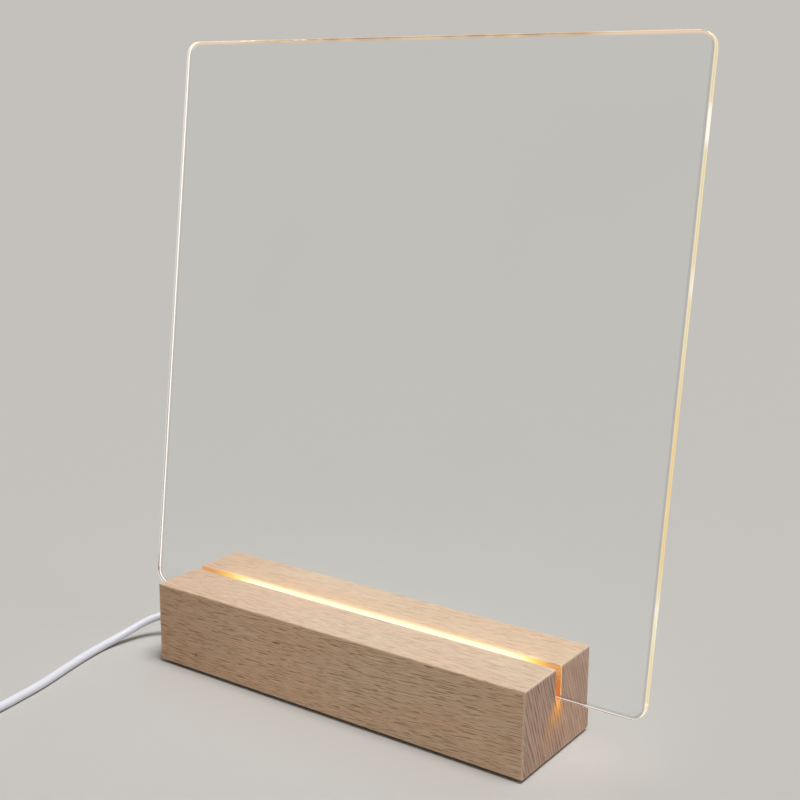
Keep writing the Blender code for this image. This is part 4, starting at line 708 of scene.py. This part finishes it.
def coil_point(turns):
    """A point of the coil's centreline, this many turns from its start."""
    half_wound = COIL_PITCH * COIL_LAYER_TURNS / 2
    past = turns - COIL_LAYER_TURNS
    if turns <= COIL_LAYER_TURNS:
        radius, lift = COIL_MEAN_RADIUS + half_wound - COIL_PITCH * turns, 0
    elif past < 0.5:
        radius, lift = COIL_MEAN_RADIUS - half_wound - COIL_PITCH * (past - 2 * past * past), 2 * past
    else:
        radius, lift = COIL_MEAN_RADIUS - half_wound + COIL_PITCH * (past - 0.5), 1
    angle = -math.pi / 2 - 2 * math.pi * turns
    spot = (radius * math.cos(angle), radius * math.sin(angle), COIL_LAYER_HEIGHT * lift)
    return COIL_CENTRE + Vector(spot)


end_turns = 2 * COIL_LAYER_TURNS + 0.5
count = round(end_turns * COIL_POINTS_A_TURN)
coil = [coil_point(end_turns * step / count) for step in range(count + 1)]
drop = COIL_CENTRE.z - SWITCH_LEAVING.z
link = [SWITCH_LEAVING + Vector((0, y, 0)) for y in (0.008, 0, -0.0015)]
link += [SWITCH_LEAVING + Vector((x, y, drop * share)) for x, y, share in LINK_ROUTE]
link.append(coil[0] + Vector((LEAD_STEP, 0, 0)))
tail_start = coil[-1] + Vector((0, LEAD_STEP, 0))
drop = PLUG_HEIGHT - coil[-1].z
tail = [tail_start + Vector((0, TAIL_LENGTH * way, drop * share)) for way, share in TAIL_SHARES]
coil_lead = lead_piece("lead_coil", [*smooth_route(link, 10), *coil, *smooth_route(tail, 4)], 3, lead_pvc)
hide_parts("usb_lead_link", "usb_lead_coil", "usb_lead_tail")


# The twist tie round the coil is a white plastic ribbon over a thin wire, which shows as a ridge along its
# middle. It goes round all the turns once, and its two ends are twisted together outside the coil.
TIE_WIDTH = 0.0040
TIE_THICKNESS = 0.00032
TIE_RIDGE = 0.00016
TIE_RIDGE_HALF_WIDTH = 0.00042
TIE_RIDGE_STEPS = 6
TIE_ROOM = 0.00025
TIE_ANGLE = math.radians(40)
TIE_REACH = math.radians(12)  # the part of the coil that it is fitted round, to either side
TIE_BEND = 0.0009
TIE_BEND_STEPS = 6
TIE_TWIST_WIDTH = 0.0023
TIE_TWIST_LENGTH = 0.0088
TIE_TWIST_TURNS = 1.75
TIE_TWIST_STEPS = 36
TIE_TWIST_HALF_GAP = 0.00004
TIE_TIP_SPREAD = 0.0009
CORNER_STEPS = 8


def tie_frames():
    """The ribbon's places from one tip to the other: its inner face, its outward way, its width's way and its
    width. The upper half is made first, and the lower half and the second end follow from it by symmetry."""
    out = Vector((math.cos(TIE_ANGLE), math.sin(TIE_ANGLE), 0))
    side, up = Vector((-out.y, out.x, 0)), Vector((0, 0, 1))
    radii = []
    for point in coil:
        away = point - COIL_CENTRE
        turn = math.atan2(away.y, away.x) - TIE_ANGLE
        if abs(math.atan2(math.sin(turn), math.cos(turn))) < TIE_REACH:
            radii.append(away.xy.length)
    room = LEAD_DIAMETER / 2 + TIE_ROOM
    low, high = min(radii) - room, max(radii) + room
    half_wide, half_tall = (high - low) / 2, COIL_LAYER_HEIGHT / 2 + room
    centre = COIL_CENTRE + out * (low + high) / 2 + up * COIL_LAYER_HEIGHT / 2
    start = []
    for step in range(TIE_TWIST_STEPS + 1):
        along = 1 - step / TIE_TWIST_STEPS
        turn = 2 * math.pi * TIE_TWIST_TURNS * along
        facing = up * math.cos(turn) + side * math.sin(turn)
        wide = side * math.cos(turn) - up * math.sin(turn)
        tip, root = max(along - 0.75, 0) / 0.25, max(0.25 - along, 0) / 0.25
        reach = half_wide + TIE_BEND + TIE_TWIST_LENGTH * along
        width = TIE_TWIST_WIDTH + (TIE_WIDTH - TIE_TWIST_WIDTH) * max(root, 0.5 * tip) ** 1.5
        lift = TIE_TWIST_HALF_GAP + TIE_TIP_SPREAD * tip * tip
        start.append((out * reach + facing * lift, facing, wide, width))
    upper = []
    bend = out * (half_wide + TIE_BEND) + up * TIE_BEND
    for step in range(1, TIE_BEND_STEPS + 1):
        turn = math.pi / 2 * step / TIE_BEND_STEPS
        facing = up * math.cos(turn) + out * math.sin(turn)
        upper.append((bend - facing * TIE_BEND, facing, side, TIE_WIDTH))
    corner = LEAD_DIAMETER / 2
    for quarter, way in enumerate((1, -1)):
        middle = out * way * (half_wide - corner) + up * (half_tall - corner)
        for step in range(CORNER_STEPS + 1):
            turn = math.pi / 2 * (quarter + step / CORNER_STEPS)
            facing = out * math.cos(turn) + up * math.sin(turn)
            upper.append((middle + facing * corner, facing, side, TIE_WIDTH))
    under = Matrix.Diagonal((1, 1, -1))
    lower = [(under @ place, under @ facing, wide, width) for place, facing, wide, width in upper]
    end = [(2 * place.dot(out) * out - place, -facing, wide, width) for place, facing, wide, width in start]
    frames = [*start, *upper, *lower[::-1], *end[::-1]]
    return [(centre + place, facing, wide, width) for place, facing, wide, width in frames]


def join_rows(shape, rows):
    """Faces between each ring of corners and the next."""
    for row, following in zip(rows, rows[1:]):
        for index in range(len(row)):
            shape.faces.new((row[index - 1], row[index], following[index], following[index - 1]))


def finished_mesh(name, shape, crease, material):
    """A smooth mesh in its material, where an edge that turns by more than crease degrees stays sharp."""
    bmesh.ops.recalc_face_normals(shape, faces=shape.faces)
    mesh = bpy.data.meshes.new(name)
    shape.to_mesh(mesh)
    mesh.shade_smooth()
    mesh.set_sharp_from_angle(angle=math.radians(crease))
    mesh.materials.append(material)
    return mesh


ribbon = bmesh.new()
rows = []
for spot, facing, wide, width in tie_frames():
    outline = [(-0.5 * width, 0), (-0.5 * width, TIE_THICKNESS)]
    for step in range(TIE_RIDGE_STEPS + 1):
        share = step / TIE_RIDGE_STEPS - 0.5
        swell = math.cos(math.pi * share)
        outline.append((2 * TIE_RIDGE_HALF_WIDTH * share, TIE_THICKNESS + TIE_RIDGE * swell))
    outline += [(0.5 * width, TIE_THICKNESS), (0.5 * width, 0)]
    rows.append([ribbon.verts.new(spot + wide * across + facing * height) for across, height in outline])
join_rows(ribbon, rows)
ribbon.faces.new(rows[0])
ribbon.faces.new(rows[-1][::-1])
tie_white = moulded_plastic("white tie ribbon", (0.76, 0.76, 0.75), 900.0, 0.10, 0.34, 0.00006)
coil_tie = put_in_scene("coil_tie", finished_mesh("coil_tie", ribbon, 40, tie_white))
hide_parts("coil_twist_tie")
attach(coil_tie, "base")
plug_contacts = [f"plug_contact_{number}" for number in (1, 2, 3, 4)]


# The plug and the in-line switch. Both bodies are moulded white; the plug's shell is folded nickel-plated
# steel round a white tongue with four gilded strips. The switch's rocker tips on two trunnions and carries a
# brass bar that bridges the two fixed contacts.
plated, given, made = new_group(
    "plated metal",
    (("Colour", "Color"), ("Worn colour", "Color"), ("Grain per metre", "Float"), ("Polish", "Float")),
    (("Colour", "Color"), ("Roughness", "Float"), ("Height", "Float")),
)
tree = plated
here = add(tree, "TexCoord").outputs["Object"]
stretched = add(tree, "VectorMath", {0: here, 1: (1.0, 0.06, 1.0)}, operation="MULTIPLY").outputs[0]
sockets = {"Vector": stretched, "Scale": given["Grain per metre"], "Detail": 2.0}
brushing = add(tree, "TexNoise", sockets).outputs[0]
worn = calc(tree, "MULTIPLY", ramp(tree, noise(tree, here, 260.0, 3.0, "3D"), 0.45, 0.80), 0.7)
sheen = calc(tree, "ADD", given["Polish"], calc(tree, "MULTIPLY_ADD", brushing, 0.14, -0.07))
sheen = calc(tree, "ADD", sheen, calc(tree, "MULTIPLY", worn, 0.15))
handled = tint(tree, worn, given["Colour"], given["Worn colour"])
for name, value in (("Colour", handled), ("Roughness", sheen), ("Height", brushing)):
    tree.links.new(value, made[name])


def plated_metal(name, colour, worn_colour, grain, polish):
    """A metal finish: its colour, the colour where it is handled, brush lines per metre and roughness."""
    material, tree = new_material(name)
    sockets = {"Colour": (*colour, 1), "Worn colour": (*worn_colour, 1)}
    sockets |= {"Grain per metre": grain, "Polish": polish}
    show_skin(tree, add(tree, "Group", sockets, node_tree=plated).outputs, 0.3, 0.00002, 0.00015, 1.0)
    return material


bright_steel = plated_metal("nickel-plated steel", (0.66, 0.66, 0.66), (0.50, 0.49, 0.47), 2400.0, 0.26)
sheet_brass = plated_metal("stamped brass", (0.75, 0.55, 0.25), (0.50, 0.33, 0.14), 2400.0, 0.30)
gilding = plated_metal("gilded strip", (0.90, 0.70, 0.30), (0.74, 0.52, 0.20), 3000.0, 0.20)
tongue_white = moulded_plastic("white plug tongue", (0.82, 0.82, 0.80), 1400.0, 0.06, 0.40, 0.00003)
dress(housing_white, "plug_body", "switch_lower_shell", "switch_upper_shell", "switch_rocker")
dress(bright_steel, "plug_shell", "switch_screw_1", "switch_screw_2")
dress(sheet_brass, "contact_bar", "contact_in", "contact_out")
dress(gilding, *plug_contacts)
dress(tongue_white, "plug_tongue")

# The rocker's dished face has a raised bar on the half that is pressed for on, and a raised ring on the
# other, both printed grey. They are moulded with the rocker and tip with it.
MARK_RADIUS = 0.0010
MARK_HALF_STROKE = 0.00018
MARK_RISE = 0.00008
MARK_SIDES = 32
MARK_PROFILE = ((1, -0.5), (1, 0.6), (0.7, 1.0), (-0.7, 1.0), (-1, 0.6), (-1, -0.5))
mark_ink = moulded_plastic("grey marking ink", (0.30, 0.30, 0.31), 1800.0, 0.10, 0.50, 0.00002, 0.00003)
halves = {}
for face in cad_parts["switch_rocker"].data.polygons:
    if face.normal.z > 0.9:
        key = tuple(round(part, 1) for part in face.normal)
        halves.setdefault(key, []).append((face.area, face.center.copy(), face.normal.copy()))
centres = []
for faces in sorted(halves.values(), key=lambda faces: -sum(area for area, _, _ in faces))[:2]:
    whole = sum(area for area, _, _ in faces)
    centres.append((sum((centre * area for area, centre, _ in faces), Vector()) / whole, faces[0][2]))
centres.sort(key=lambda half: half[0].z)
for (centre, normal), name, is_bar in zip(centres, ("rocker_on_mark", "rocker_off_mark"), (True, False)):
    across = Vector((1, 0, 0))
    along = normal.cross(across).normalized()
    mark = bmesh.new()
    rows = []
    for out, height in MARK_PROFILE:
        row = []
        for step in range(MARK_SIDES):
            turn = 2 * math.pi * step / MARK_SIDES
            radius = MARK_HALF_STROKE * (1 + out) / 2 if is_bar else MARK_RADIUS + MARK_HALF_STROKE * out
            end = math.copysign(MARK_RADIUS, math.sin(turn)) if is_bar else 0.0
            flat = across * radius * math.cos(turn) + along * (radius * math.sin(turn) + end)
            row.append(mark.verts.new(centre + flat + normal * MARK_RISE * height))
        rows.append(row)
    join_rows(mark, [*rows, rows[0]])
    bmesh.ops.remove_doubles(mark, verts=mark.verts, dist=0.000002)
    piece = put_in_scene(name, finished_mesh(name, mark, 50, mark_ink))
    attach(piece, "rocker")


# The light board is a white-lacquered circuit board screwed up under the slot, with twelve small warm white
# LED packages that shine up through the long window. Two chip resistors and the two inner wires sit under it.
LEDS = [f"led_{number:02d}" for number in range(1, 13)]
LED_SPACING = (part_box(LEDS[-1])[0].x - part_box(LEDS[0])[0].x) / (len(LEDS) - 1)
PHOSPHOR_HALF_LENGTH = (0.00130, 0.00136)  # where its soft edge begins and ends
PHOSPHOR_HALF_WIDTH = (0.00096, 0.00102)
RESISTOR_MIDDLE = -0.039
RESISTOR_CAP = (0.00112, 0.00118)  # how far from its middle the bare metal begins
board_lacquer = moulded_plastic("white board lacquer", (0.84, 0.85, 0.81), 700.0, 0.07, 0.32, 0.00003)
dress(board_lacquer, "led_board")
red_pvc = moulded_plastic("red wire sheath", (0.60, 0.03, 0.03), 2200.0, 0.16, 0.38, 0.00003)
black_pvc = moulded_plastic("black wire sheath", (0.025, 0.025, 0.027), 2200.0, 0.20, 0.40, 0.00003)
dress(red_pvc, "positive_wire", "switch_wire_in", "switch_wire_out")
dress(black_pvc, "negative_wire", "switch_wire_through")

led, tree = new_material("warm white LED package")
here = add(tree, "TexCoord").outputs
x, y, z = add(tree, "SeparateXYZ", {0: here["Object"]}).outputs
upward = add(tree, "SeparateXYZ", {0: here["Normal"]}).outputs[2]
from_led = calc(tree, "WRAP", calc(tree, "ADD", x, LED_SPACING / 2), LED_SPACING / 2, -LED_SPACING / 2)
in_length = ramp(tree, calc(tree, "ABSOLUTE", from_led), *PHOSPHOR_HALF_LENGTH, 1.0, 0.0)
in_width = ramp(tree, calc(tree, "ABSOLUTE", y), *PHOSPHOR_HALF_WIDTH, 1.0, 0.0)
phosphor = product(tree, in_length, in_width, ramp(tree, upward, 0.5, 0.8))
crystals = noise(tree, here["Object"], 5200.0, 2.0, "3D")
yellow = tint(tree, crystals, (0.90, 0.62, 0.14), (0.98, 0.80, 0.30))
bump = add(tree, "Bump", {"Strength": 0.4, "Distance": 0.00002, "Height": crystals})
sockets = {
    "Base Color": tint(tree, phosphor, (0.88, 0.87, 0.84), yellow),
    "Roughness": calc(tree, "MULTIPLY_ADD", crystals, 0.2, 0.25),
    "Normal": bump.outputs[0],
    "Emission Color": tint(tree, phosphor, NO_LIGHT, (1.0, 0.80, 0.48)),
    "Emission Strength": 1.6,
}
show(tree, add(tree, "BsdfPrincipled", sockets))
dress(led, *LEDS)

resistor, tree = new_material("glazed chip resistor")
here = add(tree, "TexCoord").outputs["Object"]
off_middle = calc(tree, "SUBTRACT", add(tree, "SeparateXYZ", {0: here}).outputs[0], RESISTOR_MIDDLE)
cap = ramp(tree, calc(tree, "ABSOLUTE", off_middle), *RESISTOR_CAP)
mottle = noise(tree, here, 2400.0, 3.0, "3D")
glaze = tint(tree, mottle, (0.02, 0.02, 0.022), (0.05, 0.05, 0.055))
bump = add(tree, "Bump", {"Strength": 0.3, "Distance": 0.00002, "Height": mottle})
sockets = {
    "Base Color": tint(tree, cap, glaze, (0.68, 0.67, 0.64)),
    "Metallic": cap,
    "Roughness": calc(tree, "MULTIPLY_ADD", mottle, 0.2, 0.2),
    "Normal": bump.outputs[0],
}
show(tree, add(tree, "BsdfPrincipled", sockets))
dress(resistor, "resistor_1", "resistor_2")


# Underneath, a white satin cover plate is let into the block and held by four countersunk screws, and a thin
# black foam pad is stuck over it. A nylon tie on the lead inside stops it from being pulled out.
cover_white = moulded_plastic("white satin cover", (0.83, 0.82, 0.79), 1100.0, 0.07, 0.46, 0.00005)
nylon = moulded_plastic("natural nylon", (0.80, 0.79, 0.74), 1300.0, 0.08, 0.42, 0.00004)
dress(cover_white, "bottom_cover")
dress(nylon, "inner_cable_tie")
dress(bright_steel, *(f"cover_screw_{number}" for number in (1, 2, 3, 4)), "board_screw_1", "board_screw_2")

# The foam pad is die-cut with round corners, and its cut rim swells a little between its two skins. Its open
# pores grip the desk. It is stuck on by its whole upper face.
PAD_CORNER = 0.004
PAD_RIM = ((0.35, 0.0), (0.12, 0.08), (0.0, 0.28), (0.0, 0.72), (0.12, 0.92), (0.35, 1.0))
pad_foam = moulded_plastic("black foam rubber", (0.034, 0.033, 0.032), 1700.0, 0.35, 0.86, 0.00022)
low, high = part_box("non_slip_pad")
thickness = high.z - low.z
foam = bmesh.new()
rows = []
for inset, height in PAD_RIM:  # both as shares of the thickness
    row = []
    radius = PAD_CORNER - inset * thickness
    for quarter, (x, y) in enumerate(((high.x, high.y), (low.x, high.y), (low.x, low.y), (high.x, low.y))):
        centre = Vector((x - math.copysign(PAD_CORNER, x), y - math.copysign(PAD_CORNER, y), low.z))
        for step in range(CORNER_STEPS + 1):
            turn = math.pi / 2 * (quarter + step / CORNER_STEPS)
            spot = Vector((radius * math.cos(turn), radius * math.sin(turn), thickness * height))
            row.append(foam.verts.new(centre + spot))
    rows.append(row)
join_rows(foam, rows)
foam.faces.new(rows[0][::-1])
foam.faces.new(rows[-1])
foam_pad = put_in_scene("foam_pad", finished_mesh("foam_pad", foam, 50, pad_foam))
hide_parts("non_slip_pad")
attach(foam_pad, "base")

low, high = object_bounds()
